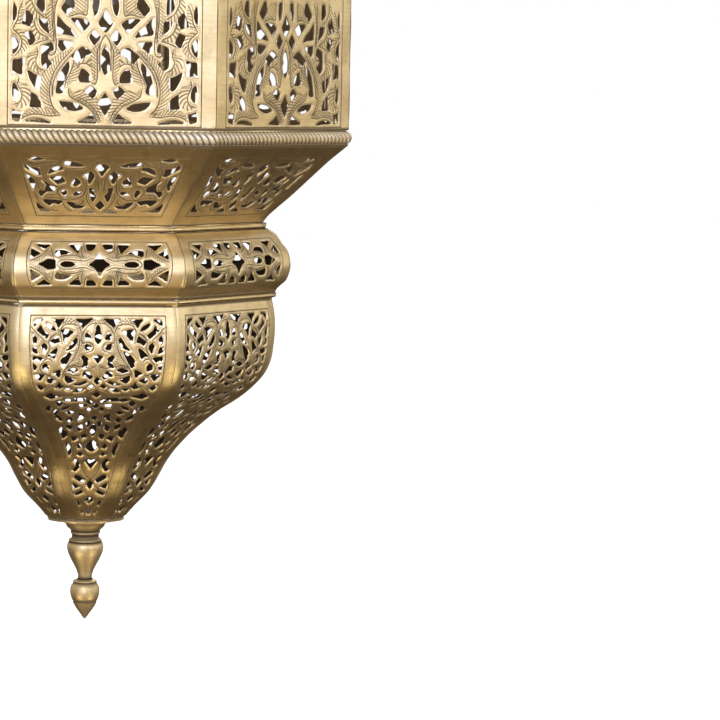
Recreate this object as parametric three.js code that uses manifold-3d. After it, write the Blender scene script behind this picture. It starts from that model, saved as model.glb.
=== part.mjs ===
// Octagonal hanging lantern of pierced brass: ring, link and loop on top, an ogee dome, an upright
// eight-sided cage with a door at the back, a flared skirt, a bulging belt, a bowl and a finial.
// Millimetres, +Z up. The origin is the hanging point: the inside of the ring, at its top.
// The front face looks along -Y. Heights are given as "drop": the distance below the origin.
import * as THREE from 'three';
import { mergeVertices } from 'three/addons/utils/BufferGeometryUtils.js';
import Module from 'manifold-3d';

const wasm = await Module();
wasm.setup();

// ---------------------------------------------------------------- driving dimensions
const SHEET = 1.2;                    // thickness of the brass sheet
const GAP = 0.3;                      // clearance kept between neighbouring pieces
const CUT_OVER = 1;                   // how far a cutting tool passes the material's end
const FACES = ['front', 'front_right', 'right', 'back_right', 'back', 'back_left', 'left', 'front_left'];
const DOOR_FACE = 'back';
const FACE_TURN = 2 * Math.PI / FACES.length;
const HALF_TURN = FACE_TURN / 2;
const CAGE_RADIUS = 162.4;            // corner radius of the upright cage
const CAGE_TOP = 180;                 // drops of the cage's upper and lower edges
const CAGE_BOTTOM = 330;
const ROPE_HEIGHT = 8.2;              // twisted trim above and below the cage
const ROPE_RADIUS = 164.2;
const ROPE_DEPTH = 4.4;
const BEAD_DIAMETER = 2.4;            // round wire over the two waist joints
const BEAD_UPPER = { drop: 387.7, radius: 112.5 };
const BEAD_LOWER = { drop: 429.1, radius: 119.5 };

// Outlines of the curved walls: [drop, corner radius].
const DOME_OUTLINE = [
  [86.3, 39], [92, 43], [99, 51], [107, 65], [115, 84], [123.5, 106], [134, 128], [147, 145.5],
  [160, 156.5], [171.5, 161.5],
];
const FLARE_OUTLINE = [
  [338.5, 162.4], [347.7, 151], [357.4, 140.6], [367.2, 129.9], [377, 118.8], [382, 113.4], [386.2, 110.2],
];
const BELT_OUTLINE = [
  [389.2, 112.4], [391.4, 117], [394.4, 120], [397.9, 122.7], [401.3, 125.6], [404.9, 127.1],
  [412, 128.1], [419.3, 125.8], [423, 122.2], [425.2, 120], [427.6, 118.8],
];
const BOWL_OUTLINE = [
  [430.6, 117], [441.7, 119.2], [451.2, 119.7], [460.8, 118.8], [470.5, 116.5], [480.4, 111],
  [490.6, 100], [501, 84.5], [511.4, 71.5], [521.7, 61.3], [531.9, 53.2], [542, 47.5], [552.2, 41.1],
  [562.6, 31.4], [568.2, 26.6],
];

const PLATE = { top: 568.6, thickness: 1.6, radius: 27.2 };
const STUD_RADIUS = 3;                // finial stud, and the threaded tube's bore
const STUD_TOP = 560;
const FINIAL_NUT = { acrossFlats: 10, height: 5 };
// Turned finial: [drop, radius] from its seat to its tip.
const FINIAL_OUTLINE = [
  [570.6, 13], [573.4, 12.6], [575.6, 11.6], [577.3, 9.7], [578.1, 8.6], [579.4, 9.1], [580.6, 8.3],
  [582.6, 8.3], [583.6, 9.9], [584.5, 10.1], [585, 9.7], [586.4, 10.9], [588, 11.2], [592.2, 10.5],
  [596.8, 8.4], [599.6, 6.8], [602.7, 5.3], [605.8, 4.4], [607.8, 4.3], [609.2, 7.1], [610, 7.4],
  [612, 8.3], [615.8, 9.1], [619.8, 8.3], [622.2, 7.2], [626.2, 5.4], [629.8, 2.8], [631.6, 1.6],
];
const TIP = 633.2;

const RING = { inner: 11, wire: 2.25 };          // hanging ring, in the XZ plane
const LINK = { inner: 4, wire: 1.75, length: 17 }; // oval link, in the YZ plane
const LOOP = { inner: 6.5, wire: 2.25 };         // loop on the crown, in the XZ plane
const PLAY = 0.5;                                // slack between links
const COLLAR = { top: 51, bottom: 63, radius: 8, shoulder: 2 };
const TUBE = { top: 60, bottom: 127, radius: 5, bore: 3.2 };
const CROWN_BOTTOM = 86;
const CROWN_OUTLINE = [
  [63.3, 9.5], [65, 12.5], [68, 14.5], [71, 13.5], [73, 10.5], [75, 11], [77, 15], [79, 22], [81, 30],
  [82.6, 38], [84, 41.5], [CROWN_BOTTOM, 41.5],
];

const HOLDER = { top: 114, bottom: 168, radius: 20, wall: 2.5, ceiling: 9 };
const HOLDER_SHOULDER = [[0, 12], [7, 18], [11, HOLDER.radius]];        // [drop below its top, radius]
const BULB = { seat: 143, neckDrop: 169, tip: 262, baseRadius: 13, glass: 1, radius: 30 };
const BULB_BASE = [[0, 4.5], [2.5, 5], [4.5, 11.5], [6, BULB.baseRadius]]; // [drop below the seat, radius]
const BULB_NECK = [[0, BULB.baseRadius], [12, 14], [25, 19], [38, 25]];    // [drop below the neck, radius]
const BULB_SHOULDER = -0.35;          // angle where the neck runs into the sphere, radians

const DOOR_EDGE_GAP = 1.5;            // gap beside the door's free edge
const DOOR_END_GAP = 0.6;             // gap above and below the door
const DOOR_ROD = { radius: 2, inset: 5, end: 3, sunk: 0.4 };
const HINGE = {
  offset: 2.9, radius: 2.4, pin: 1.2, pinEnd: 1.5, play: 0.35, leaf: 8, thickness: 0.9, clear: 1.4,
};
const HINGE_SPAN = { top: 200, bottom: 310, knuckles: 5 };
const LATCH = { drop: 255, inset: 6.2, tongue: 9.6, heel: 1, width: 5, thickness: 1.2, standoff: 1 };
const LATCH_STUD = [[1.8, 2], [1, 3], [0, 3.2]];   // [radius, height above the tongue's back]
const KEEPER = { height: 10, reach: 13, start: 6, thickness: 1.2, lip: 3, tip: 0.4 };

// ---------------------------------------------------------------- materials
function metal(color, roughness) {
  return new THREE.MeshStandardMaterial({ color, roughness, metalness: 1 });
}

const sheetBrass = metal(0xb5935b, 0.42);
const trimBrass = metal(0xd6ba84, 0.32);
const turnedBrass = metal(0xbf9c62, 0.35);
const steel = metal(0x8d8a84, 0.45);
const ceramic = new THREE.MeshStandardMaterial({ color: 0xe8e2d5, roughness: 0.5, metalness: 0 });
const glass = new THREE.MeshStandardMaterial({ color: 0xf3efe2, roughness: 0.15, metalness: 0 });

const lantern = new THREE.Group();

function piece(name, geometry, material, turn = 0) {
  const mesh = new THREE.Mesh(geometry, material);
  mesh.name = name;
  mesh.rotation.z = turn;
  lantern.add(mesh);
  return mesh;
}

// ---------------------------------------------------------------- solids
// Joins rings of equally many points into one skin. An open run of rings is capped at both ends.
function loft(rings, closed) {
  const size = rings[0].length;
  const index = [];
  const runs = closed ? rings.length : rings.length - 1;
  for (let i = 0; i < runs; i++) {
    const here = i * size;
    const next = ((i + 1) % rings.length) * size;
    for (let j = 0; j < size; j++) {
      const k = (j + 1) % size;
      index.push(here + j, next + k, here + k, here + j, next + j, next + k);
    }
  }
  if (!closed) {
    const last = (rings.length - 1) * size;
    for (let j = 1; j < size - 1; j++) {
      index.push(0, j, j + 1, last, last + j + 1, last + j);
    }
  }
  const geometry = new THREE.BufferGeometry();
  geometry.setAttribute('position', new THREE.Float32BufferAttribute(rings.flat(2), 3));
  geometry.setIndex(index);
  geometry.computeVertexNormals();
  return geometry;
}

// Unit normals of an outline in its [drop, apothem] plane, pointing away from the lantern's axis.
function outlineNormals(points) {
  return points.map((point, i) => {
    const before = points[Math.max(i - 1, 0)];
    const after = points[Math.min(i + 1, points.length - 1)];
    const along = new THREE.Vector2(after[0] - before[0], after[1] - before[1]).normalize();
    return [-along.y, along.x];
  });
}

// One face of an eight-sided wall: the outline carried across the face, mitred at both corners.
// Its upper and lower edges are cut level.
function wallPanel(outline, trims = { left: GAP / 2, right: GAP / 2 }) {
  const outer = outline.map(([drop, radius]) => [drop, radius * Math.cos(HALF_TURN)]);
  const normals = outlineNormals(outer);
  const edge = (apothem, trim) => apothem * Math.tan(HALF_TURN) - trim / Math.cos(HALF_TURN);
  const rings = outer.map(([drop, apothem], i) => {
    const atEdge = i === 0 || i === outer.length - 1;
    const innerDrop = atEdge ? drop : drop - SHEET * normals[i][0];
    const innerApothem = apothem - (atEdge ? SHEET / normals[i][1] : SHEET * normals[i][1]);
    return [
      [-edge(apothem, trims.left), -apothem, -drop],
      [edge(apothem, trims.right), -apothem, -drop],
      [edge(innerApothem, trims.right), -innerApothem, -innerDrop],
      [-edge(innerApothem, trims.left), -innerApothem, -innerDrop],
    ];
  });
  return loft(rings, false);
}

// A bar of the given section bent into an octagon; the section is a list of [apothem, drop].
function octagonRing(section) {
  const rings = FACES.map((_, k) => {
    const corner = HALF_TURN - k * FACE_TURN;
    return section.map(([apothem, drop]) => {
      const radius = apothem / Math.cos(HALF_TURN);
      return [radius * Math.cos(corner), radius * Math.sin(corner), -drop];
    });
  });
  return loft(rings, true);
}

// A piece turned about the lantern's axis from [drop, radius] points.
function turned(points, segments = 24) {
  const profile = points.map(([drop, radius]) => new THREE.Vector2(radius, -drop));
  const geometry = new THREE.LatheGeometry(profile.reverse(), segments);
  geometry.rotateX(Math.PI / 2);
  return geometry;
}

// A turned piece with a straight bore through it.
function turnedSleeve(points, bore, segments = 24) {
  const first = points[0][0];
  const last = points[points.length - 1][0];
  return turned([[first, bore], ...points, [last, bore], [first, bore]], segments);
}

function prism(shape, from, to) {
  const geometry = new THREE.ExtrudeGeometry(shape, { depth: to - from, bevelEnabled: false });
  geometry.translate(0, 0, -to);
  return geometry;
}

function circleHole(radius) {
  const path = new THREE.Path();
  path.absarc(0, 0, radius, 0, 2 * Math.PI, true);
  return path;
}

function polygonShape(sides, radius, start) {
  const points = Array.from({ length: sides }, (_, i) => {
    const angle = start + i * 2 * Math.PI / sides;
    return new THREE.Vector2(radius * Math.cos(angle), radius * Math.sin(angle));
  });
  return new THREE.Shape(points);
}

function toManifold(geometry) {
  const bare = geometry.clone();
  bare.deleteAttribute('normal');
  bare.deleteAttribute('uv');
  const merged = mergeVertices(bare, 1e-4);
  const vertProperties = new Float32Array(merged.attributes.position.array);
  const triVerts = new Uint32Array(merged.index.array);
  return new wasm.Manifold(new wasm.Mesh({ numProp: 3, vertProperties, triVerts }));
}

function fromManifold(solid) {
  const { vertProperties, triVerts } = solid.getMesh();
  const geometry = new THREE.BufferGeometry();
  geometry.setAttribute('position', new THREE.Float32BufferAttribute(vertProperties, 3));
  geometry.setIndex(Array.from(triVerts));
  geometry.computeVertexNormals();
  return geometry;
}

function joined(...geometries) {
  return fromManifold(geometries.map(toManifold).reduce((sum, solid) => sum.add(solid)));
}

function cut(geometry, tool) {
  return fromManifold(toManifold(geometry).subtract(toManifold(tool)));
}

function rod(radius, from, to, x, y, segments = 12) {
  const geometry = new THREE.CylinderGeometry(radius, radius, to - from, segments);
  geometry.rotateX(Math.PI / 2);
  geometry.translate(x, y, -(from + to) / 2);
  return geometry;
}

// ---------------------------------------------------------------- eight-sided walls
function addWall(prefix, outline) {
  FACES.forEach((face, k) => {
    piece(`${prefix}_${face}`, wallPanel(outline), sheetBrass, k * FACE_TURN);
  });
}

const cageOutline = [[CAGE_TOP + GAP, CAGE_RADIUS], [CAGE_BOTTOM - GAP, CAGE_RADIUS]];
FACES.forEach((face, k) => {
  if (face !== DOOR_FACE) {
    piece(`side_panel_${face}`, wallPanel(cageOutline), sheetBrass, k * FACE_TURN);
  }
});
addWall('dome_panel', DOME_OUTLINE);
addWall('flare_panel', FLARE_OUTLINE);
addWall('belt_panel', BELT_OUTLINE);
addWall('bowl_panel', BOWL_OUTLINE);

// ---------------------------------------------------------------- trims over the joints
// Half-round section, flat side towards the axis.
function ropeSection(top) {
  const outer = ROPE_RADIUS * Math.cos(HALF_TURN);
  const steps = 6;
  const arc = Array.from({ length: steps + 1 }, (_, i) => {
    const angle = Math.PI * i / steps;
    const apothem = outer - ROPE_DEPTH / 2 * (1 - Math.sin(angle));
    return [apothem, top + ROPE_HEIGHT / 2 * (1 - Math.cos(angle))];
  });
  return [[outer - ROPE_DEPTH, top], ...arc, [outer - ROPE_DEPTH, top + ROPE_HEIGHT]];
}

function beadSection({ drop, radius }) {
  const sides = 10;
  const centre = radius * Math.cos(HALF_TURN) - BEAD_DIAMETER / 2;
  return Array.from({ length: sides }, (_, i) => {
    const angle = 2 * Math.PI * i / sides;
    return [centre - BEAD_DIAMETER / 2 * Math.cos(angle), drop - BEAD_DIAMETER / 2 * Math.sin(angle)];
  });
}

piece('rope_trim_upper', octagonRing(ropeSection(CAGE_TOP - ROPE_HEIGHT)), trimBrass);
piece('rope_trim_lower', octagonRing(ropeSection(CAGE_BOTTOM)), trimBrass);
piece('bead_upper', octagonRing(beadSection(BEAD_UPPER)), trimBrass);
piece('bead_lower', octagonRing(beadSection(BEAD_LOWER)), trimBrass);

// ---------------------------------------------------------------- bottom plate and finial
const plateBottom = PLATE.top + PLATE.thickness;
const plateShape = polygonShape(FACES.length, PLATE.radius, HALF_TURN);
plateShape.holes.push(circleHole(STUD_RADIUS + GAP));
piece('bottom_plate', prism(plateShape, PLATE.top, plateBottom), sheetBrass);

const finialSeat = FINIAL_OUTLINE[0][0];
piece('finial', turned([
  [STUD_TOP, 0], [STUD_TOP, STUD_RADIUS], [finialSeat, STUD_RADIUS], ...FINIAL_OUTLINE, [TIP, 0],
]), turnedBrass);

const nutShape = polygonShape(6, FINIAL_NUT.acrossFlats / 2 / Math.cos(Math.PI / 6), 0);
nutShape.holes.push(circleHole(STUD_RADIUS + GAP));
const nutBottom = PLATE.top - GAP;
piece('finial_nut', prism(nutShape, nutBottom - FINIAL_NUT.height, nutBottom), steel);

// ---------------------------------------------------------------- ring, link, loop and crown
// A closed bar of round section: a straight-sided oval, or a ring when `straight` is 0.
function roundBarLoop(innerRadius, wire, straight, steps = 24, sides = 10) {
  const pathRadius = innerRadius + wire;
  const rings = Array.from({ length: steps }, (_, i) => {
    const angle = 2 * Math.PI * (i + 0.5) / steps;
    const shift = Math.sign(Math.sin(angle)) * straight / 2;
    return Array.from({ length: sides }, (_, j) => {
      const turn = 2 * Math.PI * j / sides;
      const radius = pathRadius + wire * Math.cos(turn);
      return [radius * Math.cos(angle), -wire * Math.sin(turn), radius * Math.sin(angle) + shift];
    });
  });
  return loft(rings, true);
}

const ringCentre = RING.inner;
const ringBottom = ringCentre + RING.inner;                  // drop of the bar's upper side
const linkTop = ringBottom - PLAY;                           // drop of the link's inner top
const linkBottom = linkTop + LINK.length;                    // drop of the link's inner bottom
const loopTop = linkBottom - PLAY;                           // drop of the loop's inner top
const loopCentre = loopTop + LOOP.inner;

const hangingRing = piece('hanging_ring', roundBarLoop(RING.inner, RING.wire, 0, 32), trimBrass);
hangingRing.position.z = -ringCentre;

const link = piece('chain_link', roundBarLoop(LINK.inner, LINK.wire, LINK.length - 2 * LINK.inner),
  trimBrass, Math.PI / 2);
link.position.z = -(linkTop + linkBottom) / 2;

const loopBar = roundBarLoop(LOOP.inner, LOOP.wire, 0);
loopBar.translate(0, 0, -loopCentre);
const collar = turned([
  [COLLAR.top, 0], [COLLAR.top, COLLAR.radius - COLLAR.shoulder],
  [COLLAR.top + COLLAR.shoulder, COLLAR.radius], [COLLAR.bottom, COLLAR.radius], [COLLAR.bottom, 0],
]);
const cableWay = rod(TUBE.bore, COLLAR.top - CUT_OVER, TUBE.top, 0, 0, 20);
const tubeSocket = rod(TUBE.radius + GAP, TUBE.top - GAP, COLLAR.bottom + CUT_OVER, 0, 0, 20);
piece('hanging_loop', cut(cut(joined(loopBar, collar), cableWay), tubeSocket), trimBrass);

piece('crown', turnedSleeve(CROWN_OUTLINE, TUBE.radius + GAP, 32), turnedBrass);
piece('stem_tube', turnedSleeve([[TUBE.top, TUBE.radius], [TUBE.bottom, TUBE.radius]], TUBE.bore, 20), steel);

// ---------------------------------------------------------------- lamp holder and bulb
const holderInner = HOLDER.radius - HOLDER.wall;
const tubeClear = TUBE.radius + GAP;
const holderCeiling = TUBE.bottom + GAP + HOLDER.ceiling;
const below = (start, points) => points.map(([drop, radius]) => [start + drop, radius]);
piece('lamp_holder', turned([
  [HOLDER.top, tubeClear], ...below(HOLDER.top, HOLDER_SHOULDER), [HOLDER.bottom, HOLDER.radius],
  [HOLDER.bottom, holderInner], [holderCeiling, holderInner], [holderCeiling, tubeClear],
  [HOLDER.top, tubeClear],
]), ceramic);

piece('bulb_base', turned([
  [BULB.seat, 0], ...below(BULB.seat, BULB_BASE), [BULB.neckDrop - GAP, BULB.baseRadius],
  [BULB.neckDrop - GAP, 0],
]), steel);

// Glass envelope, open at the neck: down the outside from the neck to the tip and back inside.
function bulbOutline(inset) {
  const sphereCentre = BULB.tip - BULB.radius;
  const neck = below(BULB.neckDrop, BULB_NECK.map(([drop, radius]) => [drop, radius - inset]));
  const steps = 8;
  const round = Array.from({ length: steps }, (_, i) => {
    const angle = BULB_SHOULDER + (Math.PI / 2 - BULB_SHOULDER) * i / (steps - 1);
    const radius = BULB.radius - inset;
    return [sphereCentre + radius * Math.sin(angle), Math.max(radius * Math.cos(angle), 0)];
  });
  round[steps - 1][1] = 0;
  return [...neck, ...round];
}
piece('bulb_glass', turned([
  ...bulbOutline(BULB.glass).reverse(), ...bulbOutline(0),
]), glass);

// ---------------------------------------------------------------- door, hinge and latch
// Everything here is laid out at the back face, which looks along +Y.
const doorPlane = CAGE_RADIUS * Math.cos(HALF_TURN);
const cornerX = CAGE_RADIUS * Math.sin(HALF_TURN);
const freeEdge = cornerX - DOOR_EDGE_GAP;

const doorOutline = [[CAGE_TOP + DOOR_END_GAP, CAGE_RADIUS], [CAGE_BOTTOM - DOOR_END_GAP, CAGE_RADIUS]];
const doorSheet = wallPanel(doorOutline, { left: DOOR_EDGE_GAP, right: GAP });
doorSheet.rotateZ(Math.PI);
const edgeRod = rod(DOOR_ROD.radius, CAGE_TOP + DOOR_ROD.end, CAGE_BOTTOM - DOOR_ROD.end,
  freeEdge - DOOR_ROD.inset, doorPlane - SHEET - DOOR_ROD.radius + DOOR_ROD.sunk);
piece('door_panel', joined(doorSheet, edgeRod), sheetBrass);

// The hinge stands outside the corner, on the line that halves the angle between the two faces.
const hingeX = -(cornerX + HINGE.offset * Math.sin(HALF_TURN));
const hingeY = doorPlane + HINGE.offset * Math.cos(HALF_TURN);
const knuckleHeight = (HINGE_SPAN.bottom - HINGE_SPAN.top) / HINGE_SPAN.knuckles;

// A hinge leaf lies on the sheet at `GAP`; its section is drawn for the door side, then turned.
function hingeLeaf(isLeafKnuckle, side) {
  const inner = doorPlane + GAP;
  const outer = inner + HINGE.thickness;
  const near = hingeX + HINGE.clear;
  const far = near + HINGE.leaf;
  const section = new THREE.Shape([
    new THREE.Vector2(near, inner), new THREE.Vector2(far, inner),
    new THREE.Vector2(far, outer), new THREE.Vector2(near, outer),
  ]);
  let leaf = prism(section, HINGE_SPAN.top, HINGE_SPAN.bottom);
  const bore = rod(HINGE.pin + HINGE.play / 2, HINGE_SPAN.top - CUT_OVER, HINGE_SPAN.bottom + CUT_OVER,
    hingeX, hingeY);
  if (side === 'fixed') {
    // Mirror the leaf about the corner's bisector plane, which passes through the hinge's axis.
    const mirror = new THREE.Matrix4().makeRotationZ(HALF_TURN)
      .multiply(new THREE.Matrix4().makeScale(-1, 1, 1))
      .multiply(new THREE.Matrix4().makeRotationZ(-HALF_TURN));
    leaf = flipped(leaf.applyMatrix4(mirror));
  }
  for (let i = 0; i < HINGE_SPAN.knuckles; i++) {
    const from = HINGE_SPAN.top + i * knuckleHeight;
    if (isLeafKnuckle(i)) {
      leaf = joined(leaf, rod(HINGE.radius, from + GAP / 2, from + knuckleHeight - GAP / 2, hingeX, hingeY));
    } else {
      leaf = cut(leaf, rod(HINGE.radius + HINGE.play, from - GAP / 2, from + knuckleHeight + GAP / 2,
        hingeX, hingeY));
    }
  }
  return cut(leaf, bore);
}

// Turns a mirrored solid's faces outward again.
function flipped(geometry) {
  const bare = geometry.index ? geometry.toNonIndexed() : geometry;
  const p = bare.attributes.position;
  for (let i = 0; i < p.count; i += 3) {
    const [x, y, z] = [p.getX(i), p.getY(i), p.getZ(i)];
    p.setXYZ(i, p.getX(i + 1), p.getY(i + 1), p.getZ(i + 1));
    p.setXYZ(i + 1, x, y, z);
  }
  return bare;
}

piece('door_hinge_moving', hingeLeaf((i) => i % 2 === 1, 'door'), turnedBrass);
piece('door_hinge_fixed', hingeLeaf((i) => i % 2 === 0, 'fixed'), turnedBrass);
piece('door_hinge_pin', rod(HINGE.pin, HINGE_SPAN.top - HINGE.pinEnd, HINGE_SPAN.bottom + HINGE.pinEnd,
  hingeX, hingeY), steel);

// Turn-button on the door's outside: a round-ended tongue on a domed stud. It stands upright when
// the door is free, and turned a quarter it lies behind the keeper's lip.
const latchX = freeEdge - LATCH.inset;
const tongueBack = doorPlane + LATCH.standoff;
const half = LATCH.width / 2;
const tongueShape = new THREE.Shape();
tongueShape.absarc(0, LATCH.tongue - half, half, 0, Math.PI, false);
tongueShape.absarc(0, -LATCH.heel, half, Math.PI, 2 * Math.PI, false);
tongueShape.closePath();
const tongue = new THREE.ExtrudeGeometry(tongueShape,
  { depth: LATCH.thickness, bevelEnabled: false, curveSegments: 8 });
tongue.rotateX(Math.PI / 2);
tongue.translate(0, tongueBack + LATCH.thickness, 0);
const stud = new THREE.LatheGeometry([
  new THREE.Vector2(0, GAP), new THREE.Vector2(LATCH_STUD[0][0], GAP),
  ...LATCH_STUD.map(([radius, height]) => new THREE.Vector2(radius, LATCH.standoff + height)),
], 16);
stud.translate(0, doorPlane, 0);
const latchButton = piece('latch_button', joined(tongue, stud), turnedBrass);
latchButton.position.set(latchX, 0, -LATCH.drop);

// Keeper: a bent strip whose foot lies on the next face and whose lip stands off the door's plane.
const corner = new THREE.Vector2(cornerX, doorPlane);
const alongFace = new THREE.Vector2(1, -1).normalize();
const outOfFace = new THREE.Vector2(1, 1).normalize();
const onFace = (along, out) => corner.clone()
  .addScaledVector(alongFace, along).addScaledVector(outOfFace, out);
const footOuter = onFace(KEEPER.start, GAP + KEEPER.thickness);
const riserInnerX = footOuter.x - KEEPER.thickness;
const footInner = onFace((riserInnerX - cornerX - GAP * outOfFace.x) / alongFace.x, GAP);
const lipInner = doorPlane + KEEPER.lip;
const lipOuter = lipInner + KEEPER.thickness;
const lipTipX = cornerX + KEEPER.tip;
piece('latch_keeper', prism(new THREE.Shape([
  onFace(KEEPER.start + KEEPER.reach, GAP), onFace(KEEPER.start + KEEPER.reach, GAP + KEEPER.thickness),
  footOuter, new THREE.Vector2(footOuter.x, lipOuter), new THREE.Vector2(lipTipX, lipOuter),
  new THREE.Vector2(lipTipX, lipInner), new THREE.Vector2(riserInnerX, lipInner), footInner,
]), LATCH.drop - KEEPER.height / 2, LATCH.drop + KEEPER.height / 2), turnedBrass);

export default lantern;
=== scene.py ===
"""Looks of the hanging lantern: pierced brass sheets, rope trims, beads, finial, crown and lamp."""
import math

import bpy
import numpy as np
from mathutils import Euler, Matrix, Vector


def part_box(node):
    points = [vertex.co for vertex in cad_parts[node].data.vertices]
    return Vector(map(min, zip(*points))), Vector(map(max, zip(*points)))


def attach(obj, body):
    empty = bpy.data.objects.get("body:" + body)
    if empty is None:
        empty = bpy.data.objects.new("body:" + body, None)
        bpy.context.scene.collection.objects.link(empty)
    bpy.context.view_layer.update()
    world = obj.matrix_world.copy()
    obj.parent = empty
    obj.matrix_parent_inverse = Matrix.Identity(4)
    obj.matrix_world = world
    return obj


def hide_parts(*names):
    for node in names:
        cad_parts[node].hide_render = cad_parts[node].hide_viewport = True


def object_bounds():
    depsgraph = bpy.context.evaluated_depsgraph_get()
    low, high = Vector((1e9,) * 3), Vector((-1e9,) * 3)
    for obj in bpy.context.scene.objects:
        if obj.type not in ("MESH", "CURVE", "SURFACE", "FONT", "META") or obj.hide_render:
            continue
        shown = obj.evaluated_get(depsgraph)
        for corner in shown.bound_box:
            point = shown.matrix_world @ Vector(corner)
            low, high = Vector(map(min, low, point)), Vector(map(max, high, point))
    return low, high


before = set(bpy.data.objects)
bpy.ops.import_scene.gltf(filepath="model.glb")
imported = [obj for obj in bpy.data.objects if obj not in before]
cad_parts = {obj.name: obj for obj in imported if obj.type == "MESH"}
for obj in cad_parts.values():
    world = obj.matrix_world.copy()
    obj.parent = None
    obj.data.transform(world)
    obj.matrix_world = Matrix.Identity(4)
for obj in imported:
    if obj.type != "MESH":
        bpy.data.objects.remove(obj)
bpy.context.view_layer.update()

MM = 0.001
FACES = ["front", "front_right", "right", "back_right", "back", "back_left", "left", "front_left"]
TURN = 2 * math.pi / len(FACES)
TAN = math.tan(TURN / 2)
COS = math.cos(TURN / 2)

GRID = 0.62             # spacing of the sheets' points, mm
SHEET = 1.1             # thickness of the sheets, mm
SEAM = 0.06             # half the gap between neighbouring sheets, mm
FILED = 0.3             # how far each hole is filed out beyond its outline, mm
RIM_WIDTH = 0.65        # width and depth of the rubbed rim of each hole, mm
RIM_DROP = 0.16
END_WIDTH = 1.2         # width and depth of the rubbed ends of each sheet, mm
END_DROP = 0.3
GROOVE_WIDTH = 0.5      # half width and depth of an engraved line, mm
GROOVE_DEPTH = 0.1
LINE_REACH = 1.5        # how far from a line its stroke is still felt, mm
DOMED_OVER = 2.2        # the bands between the holes are domed over this distance from a hole, mm
VEIN_PITCH = 1.35       # spacing of the chased veins in the leaves, mm
CAGE_PITCH = 1.9        # the same in the cage's larger leaves, mm
VEIN_DEPTH = 0.06
LEAF_DROP = 0.12        # how far the leaves lie below the bands, mm
LEAF_FADE = 0.8         # width over which a leaf's edge sinks, mm
BROAD_FOLD = 5          # a fold wider than this hides its seam, mm
HAND_UNEVEN = 0.0016    # height of the sheets' hammered waves, of the waves' length


# ---------------------------------------------------------------- camera
CAMERA_AT = (-0.1001, -1.7612, -0.299)
CAMERA_LENS = 144.6
CAMERA_HEADING = math.radians(8.67)           # to the right of +Y
CAMERA_TILT = math.radians(-5.56)
CAMERA_ROLL = math.radians(1.08)


def add_camera():
    data = bpy.data.cameras.new("camera")
    data.lens = CAMERA_LENS
    data.sensor_width = 36
    data.clip_start = 0.01
    camera = bpy.data.objects.new("camera", data)
    bpy.context.scene.collection.objects.link(camera)
    aim = Euler((math.pi / 2 + CAMERA_TILT, 0, -CAMERA_HEADING), "XYZ").to_matrix().to_4x4()
    roll = Matrix.Rotation(CAMERA_ROLL, 4, "Z")
    camera.matrix_world = Matrix.Translation(CAMERA_AT) @ aim @ roll
    bpy.context.scene.camera = camera


# ---------------------------------------------------------------- plane geometry, in mm
def sawn(points, cut=0.1):
    """The outline with each corner just blunted, as a saw blade leaves it."""
    outline = np.array(points, float)
    following = np.roll(outline, -1, axis=0)
    first = outline + (following - outline) * cut
    last = following - (following - outline) * cut
    return np.stack([first, last], axis=1).reshape(-1, 2)


def grown(points, factor):
    """The outline enlarged about its own middle."""
    outline = np.array(points, float)
    middle = outline.mean(axis=0)
    return middle + (outline - middle) * factor


def open_curve(points, steps=6):
    """A Catmull-Rom curve through the points."""
    p = np.array(points, float)
    if len(p) == 2:
        return p
    p = np.vstack([2 * p[0] - p[1], p, 2 * p[-1] - p[-2]])
    t = np.linspace(0, 1, steps, endpoint=False)[:, None]
    runs = []
    for a, b, c, d in zip(p, p[1:], p[2:], p[3:]):
        runs.append(0.5 * (2 * b + (c - a) * t + (2 * a - 5 * b + 4 * c - d) * t ** 2
                           + (3 * b - a - 3 * c + d) * t ** 3))
    return np.vstack(runs + [p[-2:-1]])


def nearest_on_line(x, y, line):
    """For each point: its distance from the line, the run along it, and the signed distance to its left."""
    start, step = line[:-1], np.diff(line, axis=0)
    length = np.maximum(np.hypot(step[:, 0], step[:, 1]), 1e-9)
    run = np.concatenate([[0], np.cumsum(length)])
    dx, dy = x[:, None] - start[:, 0], y[:, None] - start[:, 1]
    t = np.clip((dx * step[:, 0] + dy * step[:, 1]) / length ** 2, 0, 1)
    ex, ey = dx - t * step[:, 0], dy - t * step[:, 1]
    gap = np.hypot(ex, ey)
    best = gap.argmin(axis=1)
    row = np.arange(len(x))
    cross = (step[best, 0] * dy[row, best] - step[best, 1] * dx[row, best]) / length[best]
    return gap[row, best], run[best] + t[row, best] * length[best], cross


def signed_distance(x, y, outline):
    """Distance from a closed outline, negative inside it."""
    closed = np.vstack([outline, outline[:1]])
    gap = nearest_on_line(x, y, closed)[0]
    inside = np.zeros(len(x), bool)
    for (x1, y1), (x2, y2) in zip(closed, closed[1:]):
        if y1 != y2:
            crosses = (y1 > y) != (y2 > y)
            inside ^= crosses & (x < (x2 - x1) * (y - y1) / (y2 - y1) + x1)
    return np.where(inside, -gap, gap)


def near(x, y, points, reach):
    low, high = points.min(axis=0) - reach, points.max(axis=0) + reach
    return (x > low[0]) & (x < high[0]) & (y > low[1]) & (y < high[1])


def on_axis(half):
    """A hole across the axis, from its right half listed from top to bottom."""
    return list(half) + [(-u, s) for u, s in reversed(half) if u > 0]


# ---------------------------------------------------------------- pierced patterns, in mm
# u runs across the face from its axis, s down the sheet. Only the right half is listed. A hole is its
# outline, a groove a line, and a leaf is (spine, width, side of the spine, slant of its veins).
FAR = 4.0               # beyond this distance from a hole nothing changes, mm


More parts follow.
